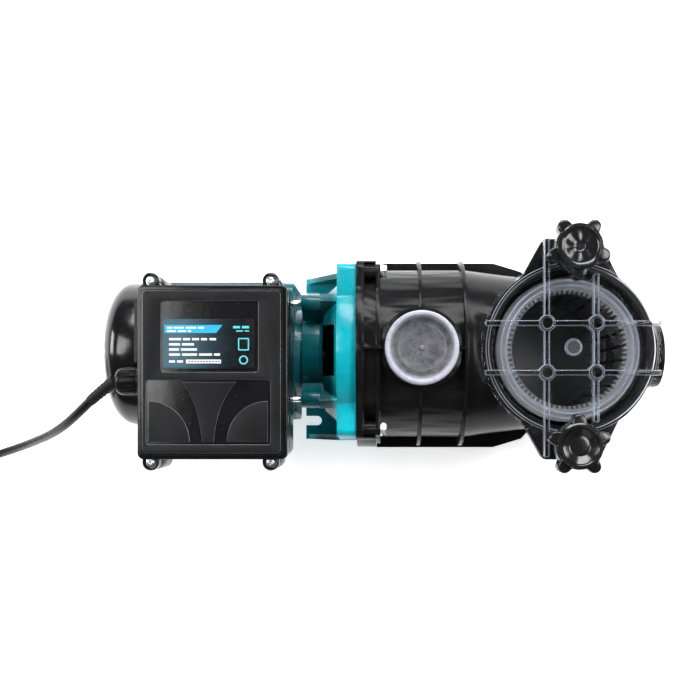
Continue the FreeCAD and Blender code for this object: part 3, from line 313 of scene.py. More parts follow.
SLOT = {
    "teal_paint": TEAL, "black_gloss": BLACK, "black_satin": SATIN, "black_textured": GRAINED, "steel": STEEL, "dark_steel": DARK_STEEL,
    "copper": COPPER, "aluminium_die": CAST, "rubber_black": RUBBER, "clear_polycarbonate": CLEAR, "grey_cap": CAP, "label": LABEL,
    "ceramic": CERAMIC, "grey_plastic": GREY, "white_plastic": WHITE,
}
OWN = {"fan_cover": COVER, "mains_cord": PVC, "cord_coil": PVC, "strainer_basket": SHADED_BASKET}
for sub in frame["record"]["subparts"]:
    node = N[sub["node"]]
    m = OWN.get(sub["node"]) or SLOT[sub["material_slot"]]
    node.data.materials.clear()
    node.data.materials.append(m)

# ---------------------------------------------------------------- mesh helpers


def take(bm, name, mats, body, angle=35.0):
    """A finished bmesh in millimetres as an object in metres that rides on a body."""
    bmesh.ops.remove_doubles(bm, verts=bm.verts, dist=1e-4)
    bmesh.ops.recalc_face_normals(bm, faces=bm.faces)
    bmesh.ops.transform(bm, matrix=Matrix.Scale(MM, 4), verts=bm.verts)
    me = bpy.data.meshes.new(name)
    bm.to_mesh(me)
    bm.free()
    for p in me.polygons:
        p.use_smooth = abs(p.normal.z) < 0.9999
    me.set_sharp_from_angle(angle=rad(angle))
    for m in mats if isinstance(mats, (list, tuple)) else [mats]:
        me.materials.append(m)
    obj = link(bpy.data.objects.new(name, me))
    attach(obj, body)
    return obj


def lathe(bm, pts, axis="z", at=(0, 0, 0), segs=96, wave=None):
    """Turns (radius, height) points about an axis through at. wave(angle, radius, height) may shift a radius."""
    rows = []
    for r, h in pts:
        if r < 1e-6:
            ring = [(0.0, 0.0, h)]
        else:
            ring = []
            for i in range(segs):
                a = math.tau * i / segs
                rr = wave(a, r, h) if wave else r
                ring.append((rr * math.cos(a), rr * math.sin(a), h))
        vs = []
        for x, y, z in ring:
            if axis == "x":
                x, y, z = z, x, y
            elif axis == "y":
                x, y, z = y, z, x
            vs.append(bm.verts.new((x + at[0], y + at[1], z + at[2])))
        rows.append(vs)
    for a, b in zip(rows, rows[1:]):
        if len(a) == 1 and len(b) == 1:
            continue
        for i in range(segs):
            j = (i + 1) % segs
            if len(a) == 1:
                bm.faces.new((a[0], b[i], b[j]))
            elif len(b) == 1:
                bm.faces.new((a[i], a[j], b[0]))
            else:
                bm.faces.new((a[i], a[j], b[j], b[i]))
    return bm


def arc(cx, cy, r, a0, a1, n):
    return [(cx + r * math.cos(rad(a0 + (a1 - a0) * k / n)), cy + r * math.sin(rad(a0 + (a1 - a0) * k / n))) for k in range(n + 1)]


def rrect(x0, x1, y0, y1, r, n=7):
    return arc(x1 - r, y1 - r, r, 0, 90, n) + arc(x0 + r, y1 - r, r, 90, 180, n) + arc(x0 + r, y0 + r, r, 180, 270, n) + arc(x1 - r, y0 + r, r, 270, 360, n)


def ring_loop(cx, cy, r, n=48):
    return [(cx + r * math.cos(math.tau * k / n), cy + r * math.sin(math.tau * k / n)) for k in range(n)]


def fillet(poly, r, n=6):
    """Rounds each corner of a closed polygon. r is one number, or one for each corner."""
    out = []
    m = len(poly)
    for i in range(m):
        p0, p1, p2 = Vector(poly[i - 1]), Vector(poly[i]), Vector(poly[(i + 1) % m])
        ri = r[i] if isinstance(r, (list, tuple)) else r
        a, b = p0 - p1, p2 - p1
        la, lb = a.length, b.length
        a.normalize()
        b.normalize()
        half = a.angle(b) / 2
        if ri < 1e-6 or half > 1.55:
            out.append(tuple(p1))
            continue
        t = min(ri / math.tan(half), la * 0.49, lb * 0.49)
        for k in range(n + 1):
            u = k / n
            out.append(tuple((1 - u) ** 2 * (p1 + a * t) + 2 * u * (1 - u) * (p1 + (a + b) * t * 0.13) + u**2 * (p1 + b * t)))
    return out


def plate(bm, loops, z0, z1, bev=0.0, res=2):
    """A flat plate between z0 and z1 with the loops' outline and holes, and rounded edges."""
    cu = bpy.data.curves.new("tmp", "CURVE")
    cu.dimensions = "2D"
    cu.fill_mode = "BOTH"
    for lp in loops:
        sp = cu.splines.new("POLY")
        sp.points.add(len(lp) - 1)
        for p, (x, y) in zip(sp.points, lp):
            p.co = (x, y, 0, 1)
        sp.use_cyclic_u = True
    cu.extrude = (z1 - z0) / 2 - bev
    cu.bevel_depth = bev
    cu.bevel_resolution = res
    cu.offset = -bev
    obj = link(bpy.data.objects.new("tmp", cu))
    bpy.context.view_layer.update()
    me = bpy.data.meshes.new_from_object(obj.evaluated_get(bpy.context.evaluated_depsgraph_get()))
    me.transform(Matrix.Translation((0, 0, (z0 + z1) / 2)))
    bm.from_mesh(me)
    bpy.data.objects.remove(obj)
    bpy.data.curves.remove(cu)
    bpy.data.meshes.remove(me)
    bmesh.ops.remove_doubles(bm, verts=bm.verts, dist=1e-5)
    return bm


def union(parts):
    """Exact union of closed bmeshes, as one bmesh."""
    objs = []
    for bm in parts:
        bmesh.ops.remove_doubles(bm, verts=bm.verts, dist=1e-4)
        bmesh.ops.recalc_face_normals(bm, faces=bm.faces)
        me = bpy.data.meshes.new("tmp")
        bm.to_mesh(me)
        bm.free()
        objs.append(link(bpy.data.objects.new("tmp", me)))
    base = objs[0]
    for o in objs[1:]:
        mod = base.modifiers.new("join", "BOOLEAN")
        mod.operation = "UNION"
        mod.solver = "EXACT"
        mod.object = o
    bpy.context.view_layer.update()
    me = bpy.data.meshes.new_from_object(base.evaluated_get(bpy.context.evaluated_depsgraph_get()))
    out = bmesh.new()
    out.from_mesh(me)
    bpy.data.meshes.remove(me)
    for o in objs:
        old = o.data
        bpy.data.objects.remove(o)
        bpy.data.meshes.remove(old)
    return out


def sweep(bm, path, radius, segs=20, caps=True):
    """A round tube along points. radius is a number or a function of the distance along."""
    pts = [Vector(p) for p in path]
    up = Vector((0.13, 0.37, 1)).normalized()
    rows, gone = [], 0.0
    for i, p in enumerate(pts):
        d = (pts[min(i + 1, len(pts) - 1)] - pts[max(i - 1, 0)]).normalized()
        if i:
            gone += (p - pts[i - 1]).length
        side = d.cross(up).normalized()
        up = side.cross(d).normalized()
        r = radius(gone) if callable(radius) else radius
        rows.append([bm.verts.new(p + (side * math.cos(math.tau * k / segs) + up * math.sin(math.tau * k / segs)) * r) for k in range(segs)])
    for a, b in zip(rows, rows[1:]):
        for k in range(segs):
            bm.faces.new((a[k], a[(k + 1) % segs], b[(k + 1) % segs], b[k]))
    if caps:
        bm.faces.new(rows[0])
        bm.faces.new(list(reversed(rows[-1])))
    return bm


def soften(name, width=0.5, angle=32.0, segs=2):
    """Rounded edges on a CAD node that stays: doubled corners are welded first."""
    o = N[name]
    for p in o.data.polygons:
        p.use_smooth = True
    o.data.set_sharp_from_angle(angle=rad(angle))
    w = o.modifiers.new("weld", "WELD")
    w.merge_threshold = 2e-6
    b = o.modifiers.new("edges", "BEVEL")
    b.width = width * MM
    b.segments = segs
    b.limit_method = "ANGLE"
    b.angle_limit = rad(angle)
    b.harden_normals = True
    b.use_clamp_overlap = True


for n in N:
    N[n].data.set_sharp_from_angle(angle=rad(32))
for n, wid in (
    ("bracket", 0.7), ("pump_body", 0.6), ("fan_cover", 0.3), ("box_base", 0.6), ("front_end_shield", 0.5), ("rear_end_shield", 0.5), ("motor_frame", 0.3),
    ("body_bolts", 0.35), ("body_washers", 0.2), ("tie_rods", 0.3), ("motor_foot", 0.6), ("drain_plug_pump", 0.5), ("drain_plug_pot", 0.5),
    ("cover_screws", 0.4), ("strainer_basket", 0.3), ("lid_studs", 0.4), ("knob_washer_a", 0.2), ("knob_washer_b", 0.2), ("cooling_fan", 0.3), ("impeller", 0.3),
):
    soften(n, wid)

# ---------------------------------------------------------------- cord
ROUTE = [
    (-228.4, -28.6, 185.0), (-243.4, -39.0, 181.6), (-260.8, -53.0, 170.2), (-279.8, -65.0, 150.6), (-302.4, -73.6, 119.6), (-328.8, -80.6, 83.0),
    (-356.4, -87.6, 49.0), (-386.4, -95.2, 22.0), (-417.4, -103.4, 6.6), (-447.0, -111.6, 4.0), (-474.0, -118.5, 4.0),
]
CX, CY = -467.0, -74.0


def step(t, a, b):
    u = min(1.0, max(0.0, (t - a) / (b - a)))
    return u * u * (3 - 2 * u)


def coil_point(t):
    """Turns side by side, 8 mm apart, in two layers. The last quarter turn lies on the others."""
    r = 48.0 - 8.0 * step(t, 405, 465) + 8.0 * step(t, 1125, 1185) - 4.0 * step(t, 1455, 1530)
    z = 4.2 + 8.3 * step(t, 765, 825) + 8.2 * step(t, 1398, 1458)
    a = rad(-90 - t)
    r = r / 0.975 - 2.6 * (1 - step(t, 0, 70))
    return (CX + r * math.cos(a), CY + r * math.sin(a), z)


line = ROUTE + [coil_point(27.0 + 25.0 * k) for k in range(60)] + [(-511.4, -76.0, 20.2), (-511.0, -68.0, 19.2), (-511.0, -58.0, 18.5)]
cu = bpy.data.curves.new("mains_lead", "CURVE")
cu.dimensions = "3D"
sp = cu.splines.new("NURBS")
sp.points.add(len(line) - 1)
for p, c in zip(sp.points, line):
    p.co = (c[0] * MM, c[1] * MM, c[2] * MM, 1)
sp.order_u = 3
sp.use_endpoint_u = True
sp.resolution_u = 8
cu.resolution_u = 8
lead = link(bpy.data.objects.new("mains_lead", cu))
bpy.context.view_layer.update()
bare = bpy.data.meshes.new_from_object(lead.evaluated_get(bpy.context.evaluated_depsgraph_get()))
SPINE = [Vector(v.co) / MM for v in bare.vertices]
bpy.data.meshes.remove(bare)
print("lead length", sum((b - a).length for a, b in zip(SPINE, SPINE[1:])))
cu.bevel_depth = 4.0 * MM
cu.bevel_resolution = 5
cu.use_fill_caps = True
cu.materials.append(PVC)
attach(lead, "pump")


def along(a, b, extra=0.0):
    """Points of the lead between two distances from its start."""
    out, gone = [], 0.0
    for p, q in zip(SPINE, SPINE[1:]):
        if a - 1e-6 <= gone <= b:
            out.append(p.copy())
        gone += (q - p).length
    return out


boot_line = along(0.0, 30.0)
first = boot_line[0] + (boot_line[0] - boot_line[1]).normalized() * 1.6
bm = bmesh.new()
GROOVE = [9.0, 13.0, 17.0, 21.0]


def boot_radius(s):
    r = 5.5 - 0.95 * s / 26.0
    return r - (0.45 if any(abs(s - g) < 0.8 for g in GROOVE) else 0.0)


fine = []
for a, b in zip([first] + boot_line, boot_line):
    k = max(1, int((b - a).length / 0.6))
    fine += [a.lerp(b, i / k) for i in range(k)]
sweep(bm, fine + [boot_line[-1]], boot_radius, 28)
boot = take(bm, "cord_boot", RUBBER, "pump")

# tie round the coil, and the plug
bm = bmesh.new()
ty = CY + 44.0
tie_path = fillet([(ty - 9.2, 0.9), (ty + 9.2, 0.9), (ty + 9.2, 17.6), (ty - 9.2, 17.6)], 4.0, 5)
outer = [bm.verts.new((CX - 3.4, y, z)) for y, z in tie_path]
outer2 = [bm.verts.new((CX + 3.4, y, z)) for y, z in tie_path]
for i in range(len(outer)):
    j = (i + 1) % len(outer)
    bm.faces.new((outer[i], outer[j], outer2[j], outer2[i]))
tie = take(bm, "coil_tie_strap", RUBBER, "pump")
so = tie.modifiers.new("thick", "SOLIDIFY")
so.thickness = 0.0011
so.offset = -1
bv = tie.modifiers.new("edge", "BEVEL")
bv.width = 0.0003
bv.segments = 2
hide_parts("coil_tie")

bm = bmesh.new()
prof = [(0, -63), (4.7, -63), (5.4, -62.4), (5.6, -58)]
for k in range(5):
    y = -56.5 + 3.6 * k
    r = 5.9 + 0.75 * k
    prof += [(r, y), (r, y + 1.6), (r - 0.8, y + 2.0), (r - 0.8, y + 3.2)]
prof += [(10.4, -38.2), (11.6, -37.4), (13.4, -34.6), (16.6, -31.4), (17.9, -28.6), (18.3, -24.0), (18.3, -12.5), (17.8, -10.4), (16.4, -9.0), (15.2, -8.6), (0, -8.6)]


def grip(a, r, h):
    return r - 0.7 * max(0.0, math.cos(a * 2)) * step(h, -31, -27) * step(-h, 10, 14) - (0.45 if r > 17 and math.cos(a * 2) > 0.35 and int((h + 40) / 1.9) % 2 else 0)


lathe(bm, prof, "y", (-511.0, 0, 18.5), 72, grip)
plug = take(bm, "plug_body", RUBBER, "pump")
bm = bmesh.new()
for s in (-1, 1):
    lathe(bm, [(0, -9.5), (2.4, -9.5), (2.4, 9.3), (1.9, 10.4), (0.9, 10.9), (0, 11.0)], "y", (-511.0 + 9.5 * s, 0, 18.5), 28)
pins = take(bm, "plug_pins", STEEL, "pump")
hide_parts("mains_plug")
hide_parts("mains_cord", "cord_coil")

# ---------------------------------------------------------------- terminal box lid
bx0, bx1, by0, by1 = -201.0, -81.5, -91.2, 47.8
TOP = 220.0
SCREWS = [(-191.0, -93.5), (-191.0, 51.5), (-95.0, -93.5), (-95.0, 51.5)]


parts = []
b = bmesh.new()
plate(b, [rrect(bx0, bx1, by0, by1, 5.0)], 204.05, 216.6, 1.1)
parts.append(b)
b = bmesh.new()
plate(b, [rrect(bx0 + 3.4, bx1 - 3.4, by0 + 3.4, by1 - 3.4, 3.8)], 214.0, 219.1, 0.55)
parts.append(b)
for x, y in SCREWS:
    s = -1 if y < 0 else 1
    b = bmesh.new()
    lathe(b, [(0, 204.1), (6.4, 204.1), (6.7, 204.6), (6.7, 213.3), (6.2, 214.1), (5.2, 214.5), (4.3, 214.3), (4.0, 213.4), (4.0, 212.0), (0, 212.0)], "z", (x, y, 0), 48)
    parts.append(b)
    b = bmesh.new()
    plate(b, [[(x - 6.2, y), (x + 6.2, y), (x + 8.6, y - s * 8.2), (x - 8.6, y - s * 8.2)][:: s or 1]], 204.1, 213.0, 0.8)
    parts.append(b)
bm = union(parts[:2])
for q in parts[2:]:
    me = bpy.data.meshes.new("tmp")
    q.to_mesh(me)
    q.free()
    bm.from_mesh(me)
    bpy.data.meshes.remove(me)
lid = take(bm, "terminal_lid", BLACK, "pump", 30)
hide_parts("box_lid")
# raised frame over the floor of the label recess and of the lower panel
bm = bmesh.new()
LAB = (-181.2, -104.3, -21.7, 34.6)
PAN = (-193.2, -94.7, -79.2, -28.0)
plate(bm, [rrect(bx0 + 5.0, bx1 - 5.0, by0 + 5.0, by1 - 5.0, 3.2), rrect(*LAB, 2.2)[::-1], rrect(*PAN, 2.0)[::-1]], 218.6, TOP, 0.35)
# lower panel: a quarter disc in each corner and a flared pad between them
q1 = [(-191.2, -77.2)] + arc(-191.2, -77.2, 32.5, 0, 90, 60)
plate(bm, [q1], 218.8, 220.0, 0.45)
q2 = [(-96.7, -77.2)] + arc(-96.7, -77.2, 32.5, 90, 180, 60)
plate(bm, [q2], 218.8, 220.0, 0.45)


def curve3(p0, p1, p2, n=16):
    return [((1 - u) ** 2 * p0[0] + 2 * u * (1 - u) * p1[0] + u * u * p2[0], (1 - u) ** 2 * p0[1] + 2 * u * (1 - u) * p1[1] + u * u * p2[1]) for u in [k / n for k in range(n + 1)]]


horn = curve3((-165.2, -29.6), (-151.8, -45.0), (-148.9, -77.2)) + curve3((-139.5, -77.2), (-137.4, -47.0), (-121.4, -29.6))
plate(bm, [horn], 218.8, 220.0, 0.45)
face = take(bm, "terminal_lid_face", [GRAINED, WALL_HIGHLIGHT], "pump", 30)
# faces that do not face up take the painted highlight material
for f in face.data.polygons:
    f.material_index = int(abs(f.normal.z) < 0.9)

# cross-head screws with a washer face
bm = bmesh.new()
for i, (x, y) in enumerate(SCREWS):
    turn = rad((17, 52, 71, 33)[i])
    z0 = 212.05
    lathe(bm, [(0, 196), (1.9, 196), (1.9, z0), (3.75, z0), (3.9, z0 + 0.3), (3.9, z0 + 0.7), (3.7, z0 + 1.0), (3.3, z0 + 1.05), (3.2, z0 + 1.5), (2.75, z0 + 2.2), (2.2, z0 + 2.6), (1.9, z0 + 2.7)], "z", (x, y, 0), 40)
    # the recess: a four-armed well that narrows to its floor
    cross_top, cross_low = [], []
    for k in range(40):
        a = math.tau * k / 40
        c = abs(math.cos(2 * (a - turn)))
        rr = 0.75 + 1.1 * c**5
        cross_top.append(bm.verts.new((x + 1.9 * math.cos(a), y + 1.9 * math.sin(a), z0 + 2.7)))
        cross_low.append((a, rr))
    mid = [bm.verts.new((x + r * math.cos(a), y + r * math.sin(a), z0 + 2.6)) for a, r in cross_low]
    low = [bm.verts.new((x + 0.62 * r * math.cos(a), y + 0.62 * r * math.sin(a), z0 + 1.3)) for a, r in cross_low]
    end = bm.verts.new((x, y, z0 + 1.1))
    for k in range(40):
        j = (k + 1) % 40
        bm.faces.new((cross_top[k], cross_top[j], mid[j], mid[k]))
        bm.faces.new((mid[k], mid[j], low[j], low[k]))
        bm.faces.new((low[k], low[j], end))
heads = take(bm, "terminal_lid_screws", STEEL, "pump")
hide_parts("box_screws")

# label: film, header band, generic bars in place of print, a white field
Z = 219.12
bm = bmesh.new()
plate(bm, [rrect(-179.9, -107.4, -19.1, 20.4, 1.8)], Z, Z + 0.3, 0.08, 1)
film = take(bm, "rating_label", LABEL, "pump")
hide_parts("rating_plate")


# the label's layout is drawn on its own grid and placed with these two
def lx(u):
    return (u - 380) / 1.1602 * 0.92 - 7.7


def ly(v):
    return ((412 - v) / 1.1602 - 58) * 0.92


bm = bmesh.new()
plate(bm, [[(lx(164.5), ly(333)), (lx(216), ly(333)), (lx(222.5), ly(325)), (lx(164.5), ly(325))]], Z + 0.3, Z + 0.38, 0.0)
band = take(bm, "label_band", CYAN, "pump")
bm = bmesh.new()
ROWS = [
    (339.2, [(169, 181), (183, 190), (192, 199), (201, 207), (209.5, 216)]), (344.4, [(169, 180), (182, 194)]), (349.5, [(169, 179), (181, 197)]),
    (354.6, [(169, 180), (182, 197), (199, 212), (214, 220)]), (361.5, [(169, 175), (177, 183)]),
]
for y, words in ROWS:
    for a, b in words:
        plate(bm, [rrect(lx(a), lx(b), ly(y + 1.1), ly(y - 1.1), 0.3, 3)], Z + 0.3, Z + 0.36, 0.0)
marks = take(bm, "label_bars", PAPER, "pump")
bm = bmesh.new()
for a, b in ((233, 240), (242, 249)):
    plate(bm, [rrect(lx(a), lx(b), ly(328.4), ly(326.0), 0.3, 3)], Z + 0.3, Z + 0.36, 0.0)
for a, b in ((236, 243), (244.5, 249)):
    plate(bm, [rrect(lx(a), lx(b), ly(331.6), ly(330.4), 0.3, 3)], Z + 0.3, Z + 0.36, 0.0)
plate(bm, [rrect(lx(238), lx(249), ly(350.5), ly(338), 0.8, 3), rrect(lx(239.2), lx(247.8), ly(349.3), ly(339.2), 0.5, 3)[::-1]], Z + 0.3, Z + 0.36, 0.0)
plate(bm, [ring_loop(lx(243.5), ly(360), 3.6, 32), ring_loop(lx(243.5), ly(360), 2.5, 32)[::-1]], Z + 0.3, Z + 0.36, 0.0)
marks = take(bm, "label_marks", AQUA, "pump")
bm = bmesh.new()
plate(bm, [rrect(lx(186), lx(221), ly(363.4), ly(359.6), 0.5, 3)], Z + 0.3, Z + 0.37, 0.0)
field = take(bm, "label_field", PAPER, "pump")
bm = bmesh.new()
for k in range(11):
    a = 188.2 + 3.0 * k
    plate(bm, [rrect(lx(a), lx(a + 1.7), ly(362.3), ly(360.8), 0.15, 2)], Z + 0.37, Z + 0.41, 0.0)
dark_print = take(bm, "label_dark_bars", LABEL, "pump")
bm = bmesh.new()
for a, b in ((167, 172), (173.5, 184), (186, 196), (198, 204)):
    plate(bm, [rrect(lx(a), lx(b), ly(328.6), ly(326.9), 0.15, 2)], Z + 0.38, Z + 0.42, 0.0)
for a, b in ((167, 176), (178, 186), (188, 191)):
    plate(bm, [rrect(lx(a), lx(b), ly(332.0), ly(330.3), 0.15, 2)], Z + 0.38, Z + 0.42, 0.0)
band_print = take(bm, "label_band_bars", PAPER, "pump")

# ---------------------------------------------------------------- cable gland
bm = bmesh.new()
gx, gy, gz = 0.0, -28.0, 185.0
prof = [(0, -200.2), (8.0, -200.2), (11.7, -200.2), (12.2, -200.8), (12.2, -206.2), (11.7, -206.9), (11.2, -207.4), (11.2, -208.6), (11.6, -209.0), (11.6, -219.0)]
prof += [(11.6 - 4.6 * (1 - math.cos(rad(a))), -219.0 - 6.6 * math.sin(rad(a))) for a in (15, 30, 45, 60, 75, 90)]
prof += [(6.2, -225.7), (5.9, -225.2), (5.9, -222.0), (0, -222.0)]


def hexed(a, r, h):
    if h > -207.0 and r > 9:
        k = (a + math.pi / 6) % (math.pi / 3) - math.pi / 6
        return min(r, 11.5 / math.cos(k))
    if -219.5 < h < -208.8 and r > 11:
        k = (a * 12 / math.tau) % 1.0
        return r - 0.35 * (abs(k - 0.5) < 0.16)
    return r


lathe(bm, prof, "x", (0, gy, gz), 144, hexed)
gland = take(bm, "gland_dome", SATIN, "pump", 30)
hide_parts("cable_gland")

# blanking plate on the rear wall of the box, beside the gland
bm = bmesh.new()
plate(bm, [rrect(-207.6, -199.4, -14.0, 39.0, 1.6)], 166.0, 200.5, 0.7)
blank = take(bm, "box_blank_plate", SATIN, "pump", 30)

# ---------------------------------------------------------------- discharge cap
bm = bmesh.new()
PX = 27.0
cap_prof = [
    (30.4, 174.7), (30.9, 174.7), (31.2, 175.1), (31.2, 177.4), (30.95, 177.8), (30.95, 186.6), (30.7, 187.7), (30.1, 188.4), (29.4, 188.6), (27.9, 188.6), (27.2, 188.3),
    (26.8, 187.6), (25.2, 184.6), (24.6, 183.7), (23.6, 183.3), (20.0, 183.2), (19.6, 183.35), (19.2, 183.2), (6.0, 183.25), (2.4, 183.3), (2.1, 183.9), (1.3, 184.3), (0, 184.1),
]
cap_prof += [(0, 181.6), (24.0, 181.6), (25.0, 182.0), (26.6, 185.6), (27.6, 187.0), (29.3, 187.1), (30.0, 186.4), (30.3, 185.0), (30.4, 183.0), (30.4, 174.7)]


def flutes(a, r, h):
    if 175.5 < h < 186.8 and r > 30.8:
        k = (a * 60 / math.tau) % 1.0
        return r - 0.22 * (0.5 + 0.5 * math.cos(math.tau * k))
    return r


lathe(bm, cap_prof, "z", (PX, 0, 0), 180, flutes)
cap = take(bm, "port_cap", CAP, "cap", 40)
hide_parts("discharge_cap")


# port threads: a raised helix on each plain cylinder
def thread(name, axis, c1, c2, a0, a1, r, pitch):
    bm = bmesh.new()
    n = 64
    total = int((a1 - a0) / pitch * n)
    rows = []
    for i in range(total + 1):
        a = math.tau * i / n
        h = a0 + (a1 - a0) * i / total
        fade = min(1.0, i / 20, (total - i) / 20)
        row = []
        for dr, dh in ((-0.6, -0.95), (0.34 * fade, -0.2), (0.34 * fade, 0.2), (-0.6, 0.95)):
            c, s = (r + dr) * math.cos(a), (r + dr) * math.sin(a)
            row.append(bm.verts.new((h + dh, c1 + c, c2 + s) if axis == "x" else (c1 + c, c2 + s, h + dh)))
        rows.append(row)
    for p, q in zip(rows, rows[1:]):
        for k in range(3):
            bm.faces.new((p[k], p[k + 1], q[k + 1], q[k]))
        bm.faces.new((p[3], p[0], q[0], q[3]))
    bm.faces.new(rows[0])
    bm.faces.new(rows[-1][::-1])
    return take(bm, name, BLACK, "pump", 25)


thread("suction_port_thread", "x", 0.0, 80.0, 230.5, 248.6, 29.8, 2.31)
thread("discharge_port_thread", "z", PX, 0.0, 176.2, 179.8, 29.75, 2.31)

# ---------------------------------------------------------------- strainer lid
LX = 153.4
GX = LX - 1.5
GO = 20.6
R = 76.0


def disc_with_ears(r, grow=0.0):
    """Outline of the round plate with an ear at each stud."""
    out = []
    right, left = 42.0 + grow, 40.5 + grow
    a_r = math.degrees(math.acos(right / r))
    a_l = 180 - math.degrees(math.acos(left / r))
    out += arc(LX, 0, r, -a_r, a_r, 40)
    out += [(LX + 27.0 + grow, 91.5), (LX + 24.0 + grow, 94.0 + grow * 0.5), (LX - 21.5 - grow, 94.0 + grow * 0.5), (LX - 24.5 - grow, 91.5)]
    out += arc(LX, 0, r, a_l, 360 - a_l, 40)
    out += [(LX - 24.5 - grow, -91.5), (LX - 21.5 - grow, -94.0 - grow * 0.5), (LX + 24.0 + grow, -94.0 - grow * 0.5), (LX + 27.0 + grow, -91.5)]
    return out


W = 2.2
parts = []
b = bmesh.new()
KX, KY = 154.7, 81.0
plate(b, [disc_with_ears(R), ring_loop(KX, KY, 4.6, 32)[::-1], ring_loop(KX, -KY, 4.6, 32)[::-1]], 165.1, 173.0, 0.9, 3)
parts.append(b)
# the grid: two bars each way, with rounded corners between them
xa, xb = GX - GO, GX + GO
bars = [
    (xa - W, -91.0), (xa + W, -91.0), (xa + W, -GO - W), (xb - W, -GO - W), (xb - W, -62.0), (xb + W, -62.0), (xb + W, -GO - W), (LX + 73.4, -GO - W), (LX + 73.4, -GO + W),
    (xb + W, -GO + W), (xb + W, GO - W), (LX + 73.4, GO - W), (LX + 73.4, GO + W), (xb + W, GO + W), (xb + W, 62.0), (xb - W, 62.0), (xb - W, GO + W), (xa + W, GO + W), (xa + W, 91.0),
    (xa - W, 91.0), (xa - W, GO + W), (LX - 73.4, GO + W), (LX - 73.4, GO - W), (xa - W, GO - W), (xa - W, -GO + W), (LX - 73.4, -GO + W), (LX - 73.4, -GO - W), (xa - W, -GO - W),
]
rr = []
for x, y in bars:
    inner = abs(abs(y) - GO) < W + 0.1 and (abs(x - xa) < W + 0.1 or abs(x - xb) < W + 0.1)
    rr.append(5.2 if inner else 1.3)
hole = [(xa + W, -GO + W), (xb - W, -GO + W), (xb - W, GO - W), (xa + W, GO - W)]
b = bmesh.new()
plate(b, [fillet(bars, rr, 5), fillet(hole, 6.5, 6)[::-1]], 172.2, 182.9, 0.95, 2)
parts.append(b)
for sx in (xa, xb):
    for sy in (-GO, GO):
        b = bmesh.new()
        lathe(b, [(0, 171.9), (6.9, 171.9), (6.9, 182.6), (6.2, 183.6), (5.0, 183.8), (4.6, 183.3), (2.4, 183.0), (0, 182.9)], "z", (sx, sy, 0), 40)
        parts.append(b)
b = bmesh.new()
lathe(b, [(0, 171.8), (7.4, 171.8), (7.4, 175.4), (7.0, 175.9), (6.2, 176.0), (5.6, 175.5), (0, 175.3)], "z", (LX + 1.2, 0.8, 0), 48)
parts.append(b)
# raised ring on the plate, and the skirt that centres it in the pot
b = bmesh.new()
lathe(b, [(69.6, 172.0), (72.4, 172.0), (72.3, 174.2), (71.8, 174.7), (70.2, 174.7), (69.7, 174.2), (69.6, 172.0)], "z", (LX, 0, 0), 144)
parts.append(b)
b = bmesh.new()
lathe(b, [(62.4, 165.9), (62.4, 158.4), (62.8, 158.0), (65.0, 158.0), (65.4, 158.4), (65.4, 165.9), (62.4, 165.9)], "z", (LX, 0, 0), 144)
parts.append(b)
b = bmesh.new()
lathe(b, [(49.2, 166.0), (49.2, 162.0), (49.5, 161.6), (51.2, 161.6), (51.5, 162.0), (51.5, 166.0), (49.2, 166.0)], "z", (LX, 0, 0), 144)
parts.append(b)
for r in (54.2, 58.4):
    b = bmesh.new()
    lathe(b, [(r - 0.7, 165.9), (r - 0.7, 164.2), (r, 163.4), (r + 0.7, 164.2), (r + 0.7, 165.9), (r - 0.7, 165.9)], "z", (LX, 0, 0), 144)
    parts.append(b)
bm = union(parts)
lidc = take(bm, "strainer_lid_clear", [CLEAR, RIB_HIGHLIGHT, BUTTON], "lid", 30)
# rib sides and inner rings take the painted highlight copy; the outer skirt stays clear
for f in lidc.data.polygons:
    x, y, z = (v / MM for v in f.center)
    edge = (z > 173.05 or z < 164.9) and abs(f.normal.z) < 0.93 and not (z < 165 and math.hypot(x - LX, y) > 61)
    button = z > 173.05 and math.hypot(x - LX - 1.2, y - 0.8) < 7.6 and abs(f.normal.z) > 0.93
    f.material_index = 2 if button else int(edge)
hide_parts("strainer_lid")


# ---------------------------------------------------------------- knobs
def knob_outline(a, turn):
    """Disc of 19.6 mm with five round lobes."""
    r = 19.7
    best = r
    for k in range(5):
        c = turn + math.tau * k / 5
        d = (a - c + math.pi) % math.tau - math.pi
        # ray against a lobe of radius 5.7 centred 20.8 out
        s = 20.8 * math.sin(abs(d))
        if s < 5.7 and abs(d) < 1:
            best = max(best, 20.8 * math.cos(d) + math.sqrt(5.7**2 - s * s))
    return best


